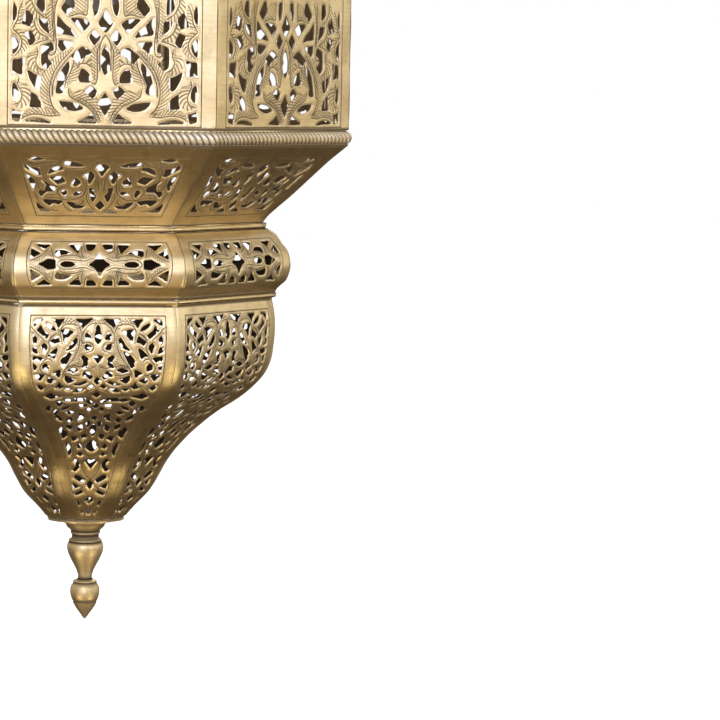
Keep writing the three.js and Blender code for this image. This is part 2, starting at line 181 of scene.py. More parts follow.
class Pattern:
    """What is sawn and chased into one face. `flip` is the s it is turned over at, for use upside down."""

    def __init__(self, border, holes, grooves=(), leaves=(), mirror_s=False, scale=1.0, clip=0.0,
                 flip=None, domed=0.35, pitch=VEIN_PITCH):
        self.border = np.array(border, float)
        self.mirror_s, self.clip, self.domed, self.pitch = mirror_s, clip, domed, pitch
        self.side = 1 if flip is None else -1

        def place(line):
            line = line * scale
            return line if flip is None else line * (1, -1) + (0, flip)

        self.holes = [place(sawn(h)) for h in holes]
        self.grooves = [place(open_curve(g)) for g in grooves]
        self.leaves = [(place(open_curve(spine)), width * scale, side * self.side, slant)
                       for spine, width, side, slant in leaves]

    def evaluate(self, u, s):
        """At each point: the distance into the metal, the signed distances from the border and the nearest
        groove, and the phase and weight of the leaves' veins."""
        x, y = np.abs(u), np.abs(s) if self.mirror_s else s
        metal = np.full(len(x), FAR)
        for outline in self.holes:
            pick = near(x, y, outline, FAR)
            if pick.any():
                metal[pick] = np.minimum(metal[pick], signed_distance(x[pick], y[pick], outline) - FILED)
        edge = signed_distance(x, y, self.border)
        metal = np.maximum(metal, edge + self.clip)
        groove = np.full(len(x), LINE_REACH)
        for line in self.grooves:
            pick = np.flatnonzero(near(x, y, line, LINE_REACH))
            if len(pick):
                gap, _, cross = nearest_on_line(x[pick], y[pick], line)
                closer = gap < np.abs(groove[pick])
                groove[pick[closer]] = np.copysign(gap, cross)[closer]
        phase, leaf = np.zeros(len(x)), np.zeros(len(x))
        for spine, width, side, slant in self.leaves:
            pick = near(x, y, spine, width)
            gap, run, cross = nearest_on_line(x[pick], y[pick], spine)
            length = np.hypot(*np.diff(spine, axis=0).T).sum()
            taper = np.clip(np.sin(math.pi * np.clip(run / length, 0, 1)), 0, 1) ** 0.5
            inside = (cross * side > 0.25) & (np.abs(np.abs(cross) - gap) < 0.4)
            weight = np.where(inside, np.clip((width * taper - gap) / LEAF_FADE, 0, 1), 0)
            stronger = weight > leaf[pick]
            index = np.flatnonzero(pick)[stronger]
            leaf[index] = weight[stronger]
            phase[index] = ((run + slant * gap) / self.pitch)[stronger]
        return metal, edge, groove, phase, leaf


CAGE_HOLES = [
    on_axis([(0, 9.2), (1.6, 12), (4.0, 16.2), (1.5, 20), (0, 21.3)]),
    on_axis([(0, 28.8), (1.3, 31.2), (2.5, 35.5), (2.3, 39.5), (1.2, 43), (0, 44.8)]),
    on_axis([(0, 54.8), (1.8, 57.6), (3.6, 60.4), (1.4, 64.8), (0, 67)]),
    [(3.6, 1.6), (6.6, 2.6), (7.2, 7.5), (6.2, 12.2), (4.9, 10.8), (3.9, 6.5)],
    [(8.8, 16.7), (11.5, 14.6), (15, 14), (19.3, 14.1), (16, 17.3), (12.6, 20.9), (10.6, 19.3)],
    [(6, 19.9), (9, 24.2), (6.2, 28.6), (2.8, 24.1)],
    [(7.4, 32.9), (10, 30.5), (13, 29.7), (15.2, 31.6), (18.7, 34.6), (17.2, 36.3), (15.5, 38.4),
     (13.3, 36), (10.8, 34)],
    [(18.2, 1.8), (20.2, 2), (24.5, 8.4), (21.4, 12.2), (17.2, 7.2)],
    [(26.4, 12.8), (26.6, 17.5), (26.2, 22.3), (21, 22.8), (16.3, 24), (18.6, 20.4), (22.2, 17.6)],
    [(18.2, 27.2), (22, 26.6), (25.7, 26.3), (25.9, 29.6), (23.8, 32.3), (22.4, 31), (20.6, 29.6)],
    [(20.2, 38), (22.6, 40.4), (24.9, 44.2), (26.2, 49), (27.2, 54.9), (24.6, 55.2), (22.4, 54.2),
     (23.4, 50.6), (22.2, 47.6), (20.8, 44.5), (19.9, 41)],
    [(13.2, 41.6), (13.9, 44.2), (14.8, 46.2), (13.9, 48.7), (8.2, 48.9), (8.2, 46), (9.4, 43.8),
     (11.3, 42.2)],
    [(7.2, 50.9), (8.8, 51.9), (10.9, 54), (8.9, 55.9), (6.9, 57.9), (5.6, 56.2), (4.6, 53.6), (6, 52.6)],
    [(11.8, 63.4), (15.5, 60.9), (20, 60.2), (25.3, 59.8), (23.3, 62.8), (20, 64.3), (16, 64.7)],
    [(7.4, 66.1), (9.2, 67.9), (12, 69.5), (15.2, 71), (10, 71.3), (4.4, 71.3)],
    [(34.2, 1.8), (37, 2.4), (38, 7.2), (36.2, 9.6), (33.9, 11.2), (33.8, 7.5)],
    [(43.3, 9.9), (44.7, 13.2), (46, 17.4), (43.6, 17.8), (41.8, 18.9), (40.1, 14.8), (40.3, 12.8)],
    [(50.3, 6), (50.8, 10), (50.8, 16), (49.9, 15.3), (48.9, 12), (49.1, 9)],
    [(32.3, 15.1), (36.8, 14.9), (36.2, 17.5), (34.2, 20), (31, 22.7), (31.8, 19)],
    [(41, 21.2), (44.3, 22.6), (43.1, 25.3), (41.6, 29.2), (39.9, 28.1), (38.6, 26.2), (39.8, 23.4)],
    [(50.9, 24.2), (50.9, 34.2), (49.2, 32.8), (47.8, 30), (48, 27.2), (49.4, 25.4)],
    [(29.8, 27.3), (32.2, 28.3), (34.9, 29.5), (35.2, 36), (34.9, 39.7), (33.8, 41.2), (32.1, 41.9),
     (30.6, 39.7), (29.1, 38.4), (31, 37.6), (32, 35), (31.2, 32.4), (28.6, 31.4), (29, 29)],
    [(45.2, 36.1), (47.2, 37.1), (50.8, 37.3), (51, 44.8), (48.9, 44.2), (45.8, 45.2), (46, 41),
     (45, 38.4)],
    [(42.7, 42.7), (41.9, 46.3), (40.3, 49.6), (38.6, 52.2), (36.8, 53.2), (35.6, 49.5), (35.5, 46.2),
     (38.6, 45.4)],
    [(50.3, 49.8), (50.9, 52), (50.8, 56.5), (49.6, 59.5), (48, 57.2), (47.8, 54), (48.9, 51.3)],
    [(40.8, 54.9), (40.7, 59), (41.4, 62.9), (35.3, 63.1), (35.8, 59.8), (37.2, 57.3)],
    [(50.5, 64.6), (50.9, 66.2), (51, 70), (47.3, 71), (46.8, 68.2), (46.1, 66), (48.3, 65.9)],
    [(29.6, 71.6), (34, 69.7), (38.5, 69.2), (42, 69.8), (44, 70.8), (38, 70.9), (33, 71.4)],
]
CAGE_GROOVES = [
    [(9.8, 3), (10, 9), (10.8, 12.2), (14, 11.4), (19.6, 12.8)],
    [(26, 2), (27.7, 8), (28.2, 14), (27.8, 20), (27.2, 26), (27.2, 31), (28.2, 33.8), (30.6, 34.4),
     (31.2, 33)],
    [(29.2, 2), (29.6, 14), (28.8, 22), (28.6, 26)],
    [(18.5, 31.5), (24, 37.5), (28, 43.5), (30.2, 50), (30.4, 57), (28.8, 62.5), (25.5, 66.3)],
    [(17.4, 33), (22.6, 38.6), (26.4, 44), (28.6, 50), (28.8, 56)],
    [(26, 67.4), (31, 67.9), (37, 66.9), (42, 67.6), (45.5, 69.4)],
    [(4.2, 70.4), (7, 65.4), (11, 61.6), (16, 59), (19.4, 56.8), (20.2, 53.6)],
    [(2.6, 69.6), (5.4, 64.4), (9.4, 60.2), (14.4, 57.4)],
    [(22.2, 50.8), (21.4, 47.6), (19.4, 44), (18, 40.4), (17.4, 37)],
    [(2.4, 27), (4.6, 32), (4.3, 40), (4.2, 46), (5.4, 50), (7.4, 49)],
    [(0, 22.6), (2.6, 27.4), (3.2, 34), (2.8, 42)],
    [(8.2, 40.2), (10.6, 38.6), (13.6, 38.9), (15.4, 40.6)],
    [(33.8, 13.6), (38, 10.5), (40.4, 6), (41, 2)],
    [(46, 6), (47.8, 11), (48.4, 15), (50.8, 20)],
    [(50.8, 20.6), (47, 24.5), (46, 28), (47.2, 32), (49.6, 34.6)],
    [(31.5, 24.9), (36, 22.6), (38.5, 19), (39.4, 15.6)],
    [(31.4, 26), (35, 26.9), (39, 28.6)],
    [(37.5, 31), (37.2, 34), (38.3, 38), (36.6, 41.5), (34.4, 42.6)],
    [(47.6, 48), (48, 51), (46.2, 55), (46, 58.5), (47.4, 61), (49.6, 61.6)],
]
# A leaf with a groove for its spine lies along that groove.
CAGE_LEAVES = [
    ([(26, 2), (27.7, 8), (28.2, 14), (27.8, 20), (27.2, 27)], 5.4, -1, -0.9),
    (CAGE_GROOVES[3], 6.0, -1, 0.9),
    (CAGE_GROOVES[5], 4.4, -1, -0.9),
    (CAGE_GROOVES[6], 7.6, -1, 0.8),
    (CAGE_GROOVES[8], 5.4, -1, -1.0),
    ([(2.4, 27), (4.6, 32), (4.3, 40), (4.2, 46), (5.4, 50)], 4.0, -1, 0.9),
    ([(10, 2), (10.2, 6), (10.6, 12)], 8.0, -1, 0.7),
    ([(20, 12.8), (14, 11.4), (11, 12)], 4.6, 1, 0.9),
    (CAGE_GROOVES[12], 4.8, 1, 0.5),
    ([(31.5, 24.9), (36, 22.6), (38.4, 19), (39.4, 15.6)], 3.8, 1, 0.2),
    ([(46, 6), (47.8, 11), (48.4, 15), (50.6, 19.6)], 3.4, 1, 0.7),
    (CAGE_GROOVES[14], 4.0, 1, -0.8),
    (CAGE_GROOVES[17], 5.6, -1, -0.7),
    (CAGE_GROOVES[18], 5.6, 1, -0.6),
    (CAGE_GROOVES[11], 4.0, -1, 0.3),
]

FLARE_HOLES = [
    on_axis([(0, 17.4), (2.2, 17.9), (3.7, 19.8), (1.6, 23.4), (0, 27)]),
    on_axis([(0, 47.4), (2.5, 51.8), (0, 55.5)]),
    [(6.6, 22.3), (7.6, 24.8), (10.5, 25.8), (8.6, 28.2), (6.7, 33.8), (4.4, 27.6), (4.9, 25)],
    [(10, 18.8), (14, 16.4), (21, 15.1), (21.4, 18.2), (17, 19), (13, 19.5)],
    [(22.5, 19.6), (26, 19.7), (29, 21.7), (30.2, 25.6), (27.6, 24.3), (25, 22.4), (22.3, 22)],
    [(32.6, 13.2), (35.5, 12.8), (37.5, 11.9), (41.2, 13), (38.5, 14.6), (35, 14.3)],
    [(43.5, 17.2), (43, 20.6), (40.5, 23), (37.5, 25.4), (36, 27), (34, 26.4), (35.2, 24.2), (35.4, 20.8),
     (38.5, 20.6), (41, 19.8)],
    [(42.5, 26), (41, 29.8), (39.8, 33), (39, 36), (38.2, 38.6), (37.3, 34.5), (37.9, 31), (39.8, 28)],
    [(23.6, 27), (26, 27.8), (29.2, 28.2), (26.7, 31.2), (24.6, 33.8), (20.4, 31.7), (21.5, 29)],
    [(14.6, 28.2), (15.7, 31), (17, 33), (15.6, 35), (13.7, 35.1), (11.8, 32.4), (12.7, 30.4)],
    [(3.8, 37.3), (6.8, 36.6), (6.1, 40.6), (5.4, 45), (4.3, 48.8), (2.2, 43.2), (3.7, 42), (4.4, 39)],
    [(11, 40.2), (14, 40.2), (16.3, 43.2), (13.2, 43.2), (11.6, 42.2)],
    [(8.2, 52), (10.5, 52.4), (13.6, 51.9), (15, 49.6), (18.9, 48.8), (17.1, 52.2), (14.5, 54.5),
     (10.5, 54.2)],
    [(19.7, 39), (21.4, 38.5), (22.3, 41), (20.7, 43.2), (19.9, 45), (19.2, 42)],
    [(33.6, 30.1), (31.1, 33.6), (30.9, 37), (31.4, 39.6), (34.6, 39.2), (34.5, 42.2), (33.2, 44.4),
     (32, 42), (30.4, 40), (25.9, 40), (26, 36.4), (29.3, 34)],
    [(20.6, 48), (26, 47.1), (32.4, 46.9), (31.3, 49.5), (28.6, 52), (26.3, 49.6), (23.2, 51.2),
     (22.2, 49.7)],
    [(35.7, 49.4), (35.2, 53), (33.8, 57), (27.2, 57.1), (30.8, 55), (33.5, 52.4)],
    [(5.5, 54.9), (6.7, 55.1), (10.5, 58.1), (6.5, 57.9), (2.6, 57.9)],
]
FLARE_GROOVES = [
    [(2.6, 14.2), (7, 18), (11, 20.6), (17, 20.8), (19.6, 22.6), (20.6, 26.4)],
    [(24, 15), (26, 17.6), (30, 18.6), (33.4, 21), (32.8, 27), (29, 32.6), (24.6, 35.6)],
    [(27, 14.8), (31.4, 15.8), (36, 16.8), (42, 15.6)],
    [(16.2, 25.4), (15.8, 30), (18.6, 34.2), (22.6, 35.6), (24.4, 39.4), (22.6, 44)],
    [(8.6, 30), (8.4, 36), (10, 42), (14.6, 46), (20.4, 46.4), (24.6, 44.6), (31, 45)],
    [(2, 57), (5, 52), (7.6, 46.6), (8, 42)],
    [(17, 56), (19.6, 52.6), (21, 49.4)],
    [(24, 56), (29.6, 54), (33.8, 49.6), (36, 44), (37.4, 40)],
    [(36.8, 28), (36, 32.4), (34.6, 36.6), (32.4, 38)],
    [(26.6, 42), (30, 42.4), (31.6, 44)],
    [(0, 29.4), (-3.2, 35.2)],
    [(1.8, 31), (1.6, 38.6)],
    [(9.4, 46.6), (11, 50.4), (13.6, 50)],
]
FLARE_LEAVES = [
    ([(24.8, 14.6), (28.4, 17), (32.6, 19.6), (34, 24)], 3.0, -1, 0.7),
    ([(9, 47), (10.8, 50), (14, 49.4)], 2.6, 1, 0.4),
    ([(25, 44.6), (28.6, 43.2), (32.4, 45)], 2.2, 1, 0.4),
    ([(10, 34), (11.4, 37.4), (14.6, 38.6), (17, 36.4)], 2.4, 1, 0.5),
    ([(38.6, 15.6), (34.4, 16.8), (30, 15.8)], 2.6, 1, 0.6),
    ([(0.2, 31), (2.8, 35.4), (2.2, 40.2)], 2.6, 1, 0.3),
]

BELT_HOLES = [
    [(0, 7), (1.6, 3.6), (3.4, 1.5), (6, 0), (3.4, -1.5), (1.6, -3.6), (0, -7), (-1.6, -3.6), (-3.4, -1.5),
     (-6, 0), (-3.4, 1.5), (-1.6, 3.6)],
    [(13.9, 0), (16.2, -1.3), (20.3, -1.4), (22.4, 0), (20.3, 1.4), (16.2, 1.3)],
    [(25.1, -2.3), (29.5, -2.9), (31.8, -1.3), (34.8, 0), (31.8, 1.3), (29.5, 2.9), (25.1, 2.3)],
    [(16, 6.5), (19.5, 6.4), (22.6, 5.7), (23.8, 4.7), (25, 5.8), (24.8, 8.6), (22, 9), (19.2, 8.7)],
    [(1.9, 12.8), (3, 10.4), (4.6, 8.8), (6.4, 8.8), (7.3, 10.6), (7.4, 12.9)],
    [(12.1, 6.8), (14.2, 9.2), (17.2, 12.3), (10.3, 12.5), (11.6, 9.5)],
    [(39.2, 3.3), (38.6, 6.5), (38.4, 10), (35.8, 8.1), (33.4, 6.6), (36.2, 5)],
    [(31.6, 9.1), (33.2, 11), (35.5, 12.9), (31.5, 12.3), (27.5, 12.5), (29.8, 10.8)],
]
BELT_GROOVES = [
    [(4.6, 3.4), (8, 2), (13, 2.3), (18, 2.9), (22, 2.4), (24, 0.6)],
    [(10.4, 3.9), (14, 5.2), (19, 5.2), (22.4, 4.2)],
    [(5.2, 6.8), (8, 8.3), (8.9, 12.8)],
    [(9.4, 4.6), (10.5, 8), (10, 11.4)],
    [(26.2, 4), (27.2, 9.4)],
    [(29, 9.4), (33, 5), (38.8, 1.9)],
]
BELT_LEAVES = [
    ([(4.4, 4), (8, 3.2), (11, 4.4), (14, 6.4)], 2.8, 1, 0.5),
    ([(9.6, 5), (10.6, 8), (10.2, 12)], 2.6, 1, -0.6),
    ([(26.6, 4.2), (27.6, 9.2)], 3.2, -1, 0.8),
    ([(29.6, 8.4), (33.4, 4.6), (38, 2.4)], 2.6, -1, -0.6),
]

BOWL_HOLES = [
    on_axis([(0, 11.6), (1.2, 13.5), (1, 15), (1.8, 17), (1.6, 20.6), (0, 22.8)]),
    on_axis([(0, 29.4), (2.8, 30.1), (1.4, 31.8), (0, 34.2)]),
    on_axis([(0, 42.8), (2, 45.4), (0, 48)]),
    on_axis([(0, 53.4), (2.1, 56), (0, 58.8)]),
    on_axis([(0, 64), (1.8, 67), (0, 70.2)]),
    on_axis([(0, 78.6), (2, 81.6), (0, 84.8)]),
    on_axis([(0, 88), (1.5, 91), (1.4, 97), (0, 101)]),
    on_axis([(0, 104.4), (2.2, 107), (3.7, 111), (1.6, 113.6), (0, 114.6)]),
    on_axis([(0, 122.4), (1.6, 121.2), (3.3, 122.4), (1.6, 125.6), (0, 128.4)]),
    on_axis([(0, 136.6), (1.9, 140), (0, 143.4)]),
    on_axis([(0, 149.4), (2.3, 152.4), (0, 155.8)]),
    on_axis([(0, 159.6), (1.4, 161.6), (0.6, 165), (0, 165.6)]),
    [(3, 7.9), (8, 8.6), (13, 8.4), (10.5, 10.3), (8.8, 12.9), (6.8, 11.3), (5, 9.6)],
    [(19.4, 8.3), (22.5, 8.8), (25.8, 8.4), (23.8, 10.4), (22.5, 13.2), (21.2, 10.6)],
    [(31.4, 8.5), (35.2, 8.6), (36.4, 9.6), (36.4, 12.6), (34.4, 10.4)],
    [(29.7, 10.6), (28.8, 12.6), (26.8, 14.2), (24.1, 15), (25.2, 13), (27.4, 11.4)],
    [(6, 16), (7.5, 17.2), (7.1, 20.1), (4, 19.9), (4.7, 17.8)],
    [(7.5, 22.4), (7.4, 25.7), (5, 26.2), (3.8, 24), (5.4, 23.4)],
    [(14, 15.8), (17.6, 14.4), (21.2, 14.6), (20.1, 17), (19.3, 22.1), (18, 19.6), (15.9, 17.3)],
    [(12.6, 18.8), (14.4, 21.1), (15.6, 23.4), (18.5, 26.6), (15, 25.4), (12.7, 23), (11.8, 20.5)],
    [(32.6, 12), (34.9, 14.7), (32.1, 17.1), (29.4, 19.5), (28.2, 17.4), (31, 15.3), (32, 13.8)],
    [(23.1, 18), (25.2, 19.8), (27.5, 21.3), (26.1, 23.5), (24.2, 21.9), (22.1, 21.6)],
    [(37, 16.8), (36.7, 22), (35.8, 23.2), (34.8, 19.8)],
    [(35.6, 24.6), (37.1, 24.7), (37.1, 27.2), (34.5, 28.4)],
    [(31, 22.1), (32.2, 23.5), (31.3, 25.6), (30.8, 28.2), (29.3, 25.8), (29.3, 23.5)],
    [(23.1, 25), (25.5, 26.5), (28.8, 29.9), (26.8, 29.7), (25, 31.5), (23.9, 28.2)],
    [(8.4, 29.2), (9.6, 30.4), (8.2, 32.4), (8, 34.2), (9.2, 36.7), (7.6, 37), (5.7, 34.6), (6.3, 32.6),
     (5.3, 31.5)],
    [(14.4, 27.2), (16.8, 28.2), (19.3, 29.9), (21.3, 32.6), (20.3, 34), (20.9, 35.7), (19.5, 37),
     (17.9, 34.4), (16.3, 31)],
    [(31.4, 30.9), (37, 30.2), (36.7, 32.5), (33.3, 33.4)],
    [(29.2, 34.6), (31.4, 35), (31.2, 37.7), (28.5, 39), (28, 36.4)],
    [(36.8, 34), (36.9, 36.6), (36, 38.5), (34.6, 36.4)],
    [(11, 38.4), (13.8, 37.1), (17.6, 38.8), (14.6, 40.1)],
    [(21.2, 38.2), (23, 38.9), (25.6, 40.4), (23.4, 41.5), (22.1, 43.2), (21.4, 41)],
    [(5, 39.4), (8.1, 39.6), (8.5, 42.5), (5.8, 42.1), (4.3, 44.3), (2.8, 43), (4.5, 41.1)],
    [(18.5, 41.8), (18.4, 44.6), (16.7, 47), (14.6, 46), (12.9, 44.6), (16, 43.2)],
    [(30.2, 41.4), (35.6, 41.3), (35, 44), (32.4, 45.1), (31.5, 43)],
    [(28.1, 43), (28.8, 45.5), (27.3, 47.1), (24.1, 45.3), (26.1, 44.1)],
    [(5.7, 46.2), (7.4, 45.6), (9.8, 47.2), (13.7, 48), (9.6, 48.4)],
    [(21.9, 46.5), (22.7, 48.8), (23.9, 50.3), (21.6, 51.2), (19.2, 49.3), (20.9, 48.5)],
    [(3.2, 47.8), (5.2, 49.4), (3.6, 51), (2.1, 49.6)],
    [(34, 48.2), (33.3, 50.9), (31.8, 52.4), (30.4, 50.4), (31.9, 49.1)],
    [(7, 51), (11.2, 51.2), (13.1, 53.6), (10.4, 53.7), (8.4, 52.6)],
    [(14.2, 51.2), (18.8, 50.8), (16.4, 52.8)],
    [(21.2, 57.6), (25, 56.6), (26.2, 55.2), (28.6, 57.3), (26, 59.4)],
    [(6.7, 59.6), (11.6, 59.7), (12, 61.9), (7.8, 62.3)],
    [(13.3, 61.6), (16, 60.2), (19, 61.2), (15.5, 62.6)],
    [(21, 62.6), (22.5, 64.6), (21.2, 67.4), (19.6, 65)],
    [(4.5, 61.2), (5, 63.4), (3.2, 65.2), (2.4, 63)],
    [(5, 66.2), (9, 65.8), (8.2, 68.6), (6.2, 68)],
    [(15.2, 67.6), (18.2, 69), (19.2, 72), (16.8, 71)],
    [(27, 67.4), (28.4, 70), (27, 72.8), (25.6, 70.4)],
    [(3.9, 69.2), (4.6, 71.6), (3.4, 73.2), (2.6, 71)],
    [(22.6, 72), (23.6, 74.8), (22.8, 77.4), (21.7, 75)],
    [(12.6, 75), (14.4, 73.4), (16.6, 75), (14.6, 77.2)],
    [(8.9, 77), (8.3, 80.4), (9.2, 84), (7, 82.6), (6, 79.4)],
    [(22, 78.6), (22, 81.8), (19.2, 84.4), (19.8, 81)],
    [(14, 81.6), (15.6, 83.2), (14.4, 86.4), (12.8, 84)],
    [(3, 85.6), (4.4, 87.6), (3.4, 91), (2.4, 88.6)],
    [(15, 89.2), (15.2, 91.8), (13.3, 94), (12.7, 91)],
    [(7.2, 89.6), (9, 91.6), (8.4, 95.4), (6.6, 93)],
    [(18.7, 92.4), (19.6, 95), (18.5, 97.6), (17.6, 95)],
    [(16, 96.2), (18.2, 97.4), (17.2, 102), (15.4, 99.6)],
    [(12.2, 101.2), (11.2, 104.8), (9, 103), (10.2, 101.4)],
    [(5, 98.8), (6.6, 100.6), (5.4, 103.2), (4, 101)],
    [(7.5, 107.6), (8.8, 109.4), (7.9, 111.9), (6, 111.2)],
    [(15.4, 106.2), (14.8, 110.5), (13.9, 114), (13.3, 118.4), (12.2, 114.6), (13.1, 110)],
    [(6.8, 114.8), (8.4, 116.8), (6.6, 118.4), (5, 117)],
    [(9.2, 120.8), (10.2, 122.4), (8.7, 124.2), (8.5, 126.6), (10.6, 129.3), (9, 130.4), (7.1, 127.6),
     (6.7, 124.4)],
    [(8.6, 133.1), (9.6, 135), (6.7, 137.2), (4.5, 138.5), (3.4, 136.6), (6.4, 134)],
    [(10.2, 139), (9.7, 143), (6.6, 141.6)],
    [(4.7, 144.1), (9.4, 147), (8.9, 148.4), (4.2, 146)],
    [(8.1, 152), (7.3, 155), (6.9, 158.2), (5.4, 156), (6.3, 153.4)],
    [(5.3, 161.6), (4.5, 165.4), (3.4, 163.8)],
]
BOWL_DENSE = (55, 104)  # where the bowl's side holes are as large as their bars allow, down the sheet
BOWL_GROWTH = 1.35


def widened(hole):
    """The bowl's hole, enlarged if it is one of the dense ones."""
    u, s = np.mean(hole, axis=0)
    dense = BOWL_DENSE[0] < s < BOWL_DENSE[1] and abs(u) > 1
    return grown(hole, BOWL_GROWTH) if dense else hole


BOWL_HOLES = [widened(hole) for hole in BOWL_HOLES]
BOWL_GROOVES = [
    [(0.8, 10.6), (4.4, 11.2), (7.2, 14), (9.4, 18), (8.6, 22.4), (5.8, 21.4), (3.2, 23), (3, 26.2),
     (6.4, 27.6)],
    [(9.8, 15), (11.6, 12), (15.2, 11.2), (19.6, 12), (21.6, 15.6), (21, 20)],
    [(10.4, 20), (11.4, 26), (14, 31.4), (17.6, 36), (19.8, 40.6)],
    [(23.8, 16.6), (27, 19), (28, 22.2), (27.4, 25), (29.6, 29.6)],
    [(37.8, 13.4), (34, 17.6), (31, 20.6)],
    [(26, 33), (28.4, 31.4), (31.4, 33.4), (33, 37), (31, 40.6), (27, 41.6)],
    [(10.2, 36.4), (13.8, 35.2), (18.4, 37.2)],
    [(10.4, 41.4), (13.8, 41.6), (17.6, 40.4), (19.8, 42.6)],
    [(1.4, 36), (4.4, 37), (10, 35.6)],
    [(24, 48.6), (27, 49.6), (29.4, 53.4), (29, 56)],
    [(14, 49), (18, 49.2), (20, 53), (19, 56.4), (14, 57)],
    [(1.4, 51), (5.6, 53.2), (7.6, 57), (12.6, 57.8)],
    [(5, 74), (10, 71.2), (12.6, 66.4), (18.4, 65)],
    [(10.8, 80), (12.4, 88), (10.8, 96), (6.4, 98)],
    [(4.6, 76), (4.4, 82), (6, 87.6), (10.4, 88)],
    [(17, 86), (18.6, 90), (16.6, 94.6)],
    [(4.6, 105), (5, 110), (3.8, 116), (1, 119)],
    [(11, 107), (9.8, 113), (11, 119)],
    [(4.8, 121), (5, 127), (3.4, 132), (1, 135)],
    [(3.2, 141), (5.6, 143), (9, 144.6)],
    [(3.4, 149), (4.2, 154), (3, 158)],
]
BOWL_LEAVES = [
    ([(12.4, 15.2), (13.6, 12.4), (16.8, 10.9), (20.4, 11.2), (23.4, 13.4)], 3.6, -1, 0.5),
    ([(0, 10.2), (4.6, 10.6), (8.4, 13.4), (9.6, 16)], 3.0, -1, 0.4),
    ([(0.3, 34.6), (0.3, 43.6)], 5.5, -1, 0.9),
    ([(24.4, 16.4), (27.6, 18.6), (28.6, 22)], 2.2, 1, 0.5),
    ([(12.2, 12.6), (12.4, 20), (13.4, 27), (15.8, 34)], 5.4, 1, 0.9),
    ([(10.6, 31), (13, 34.4), (18, 35.8)], 4.2, 1, 0.4),
    ([(26.4, 33), (28.6, 31.8), (31.6, 33.4)], 2.2, -1, 0.4),
    ([(24.4, 48.4), (27.6, 50), (29.6, 53.6)], 2.6, -1, 0.5),
    ([(9.6, 55), (14, 56), (19, 54.6)], 2.6, 1, 0.5),
]


# ---------------------------------------------------------------- eight-sided walls
class Wall:
    """One face of an eight-sided wall, read from its CAD sheet: the curve of its outer side."""

    def __init__(self, node, fold, samples=400):
        self.fold = fold
        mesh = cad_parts[node].data
        points = set()
        for polygon in mesh.polygons:
            n = polygon.normal
            if abs(n.x) < 0.02 and n.y < -0.05 and abs(n.z) < 0.99:
                for i in polygon.vertices:
                    v = mesh.vertices[i].co
                    points.add((round(-v.z / MM, 2), round(-v.y / MM, 2)))
        rough = np.array(sorted(points))
        curve = open_curve(rough, 12)
        run = np.concatenate([[0], np.cumsum(np.hypot(*np.diff(curve, axis=0).T))])
        self.length = run[-1]
        self.s = np.linspace(0, self.length, samples)
        self.drop = np.interp(self.s, run, curve[:, 0])
        self.apothem = np.interp(self.s, run, curve[:, 1])
        slope = np.hypot(np.gradient(self.drop), np.gradient(self.apothem))
        self.out = np.gradient(self.drop) / slope
        self.down = -np.gradient(self.apothem) / slope

    def half_width(self, s):
        return np.interp(s, self.s, self.apothem) * TAN - SEAM / COS

    def fold_drop(self, u, s):
        """How far the sheet turns in where it bends into its neighbour."""
        edge = np.clip(self.half_width(s) - np.abs(u), 0, None)
        return self.fold * math.tan(TURN / 2) / 2 * np.clip(1 - edge / self.fold, 0, 1) ** 2

    def place(self, u, s, height):
        """Points on the front face, in metres, `height` mm out of the sheet's outer side."""
        drop_in = self.fold_drop(u, s)
        plain = np.interp(s, self.s, self.apothem)
        apothem = plain - drop_in + height * np.interp(s, self.s, self.out)
        drop = np.interp(s, self.s, self.drop) + height * np.interp(s, self.s, self.down)
        narrowed = u * (1 - drop_in / plain)
        return np.stack([narrowed, -apothem, -drop], axis=1) * MM


# Each case of a cell's metal corners (1, 2, 4, 8 counter-clockwise) gives polygons of corners 0-3 and
# cut edges 4-7 (edge 4 runs from corner 0 to 1), with each polygon's cut pair for the hole's wall.
CELL_CASES = {
    1: [(0, 4, 7)], 2: [(1, 5, 4)], 3: [(0, 1, 5, 7)], 4: [(2, 6, 5)], 5: [(0, 4, 7), (2, 6, 5)],
    6: [(1, 2, 6, 4)], 7: [(0, 1, 2, 6, 7)], 8: [(3, 7, 6)], 9: [(0, 4, 6, 3)], 10: [(1, 5, 4), (3, 7, 6)],
    11: [(0, 1, 5, 6, 3)], 12: [(2, 3, 7, 5)], 13: [(0, 4, 5, 2, 3)], 14: [(1, 2, 3, 7, 4)],
    15: [(0, 1, 2, 3)],
}


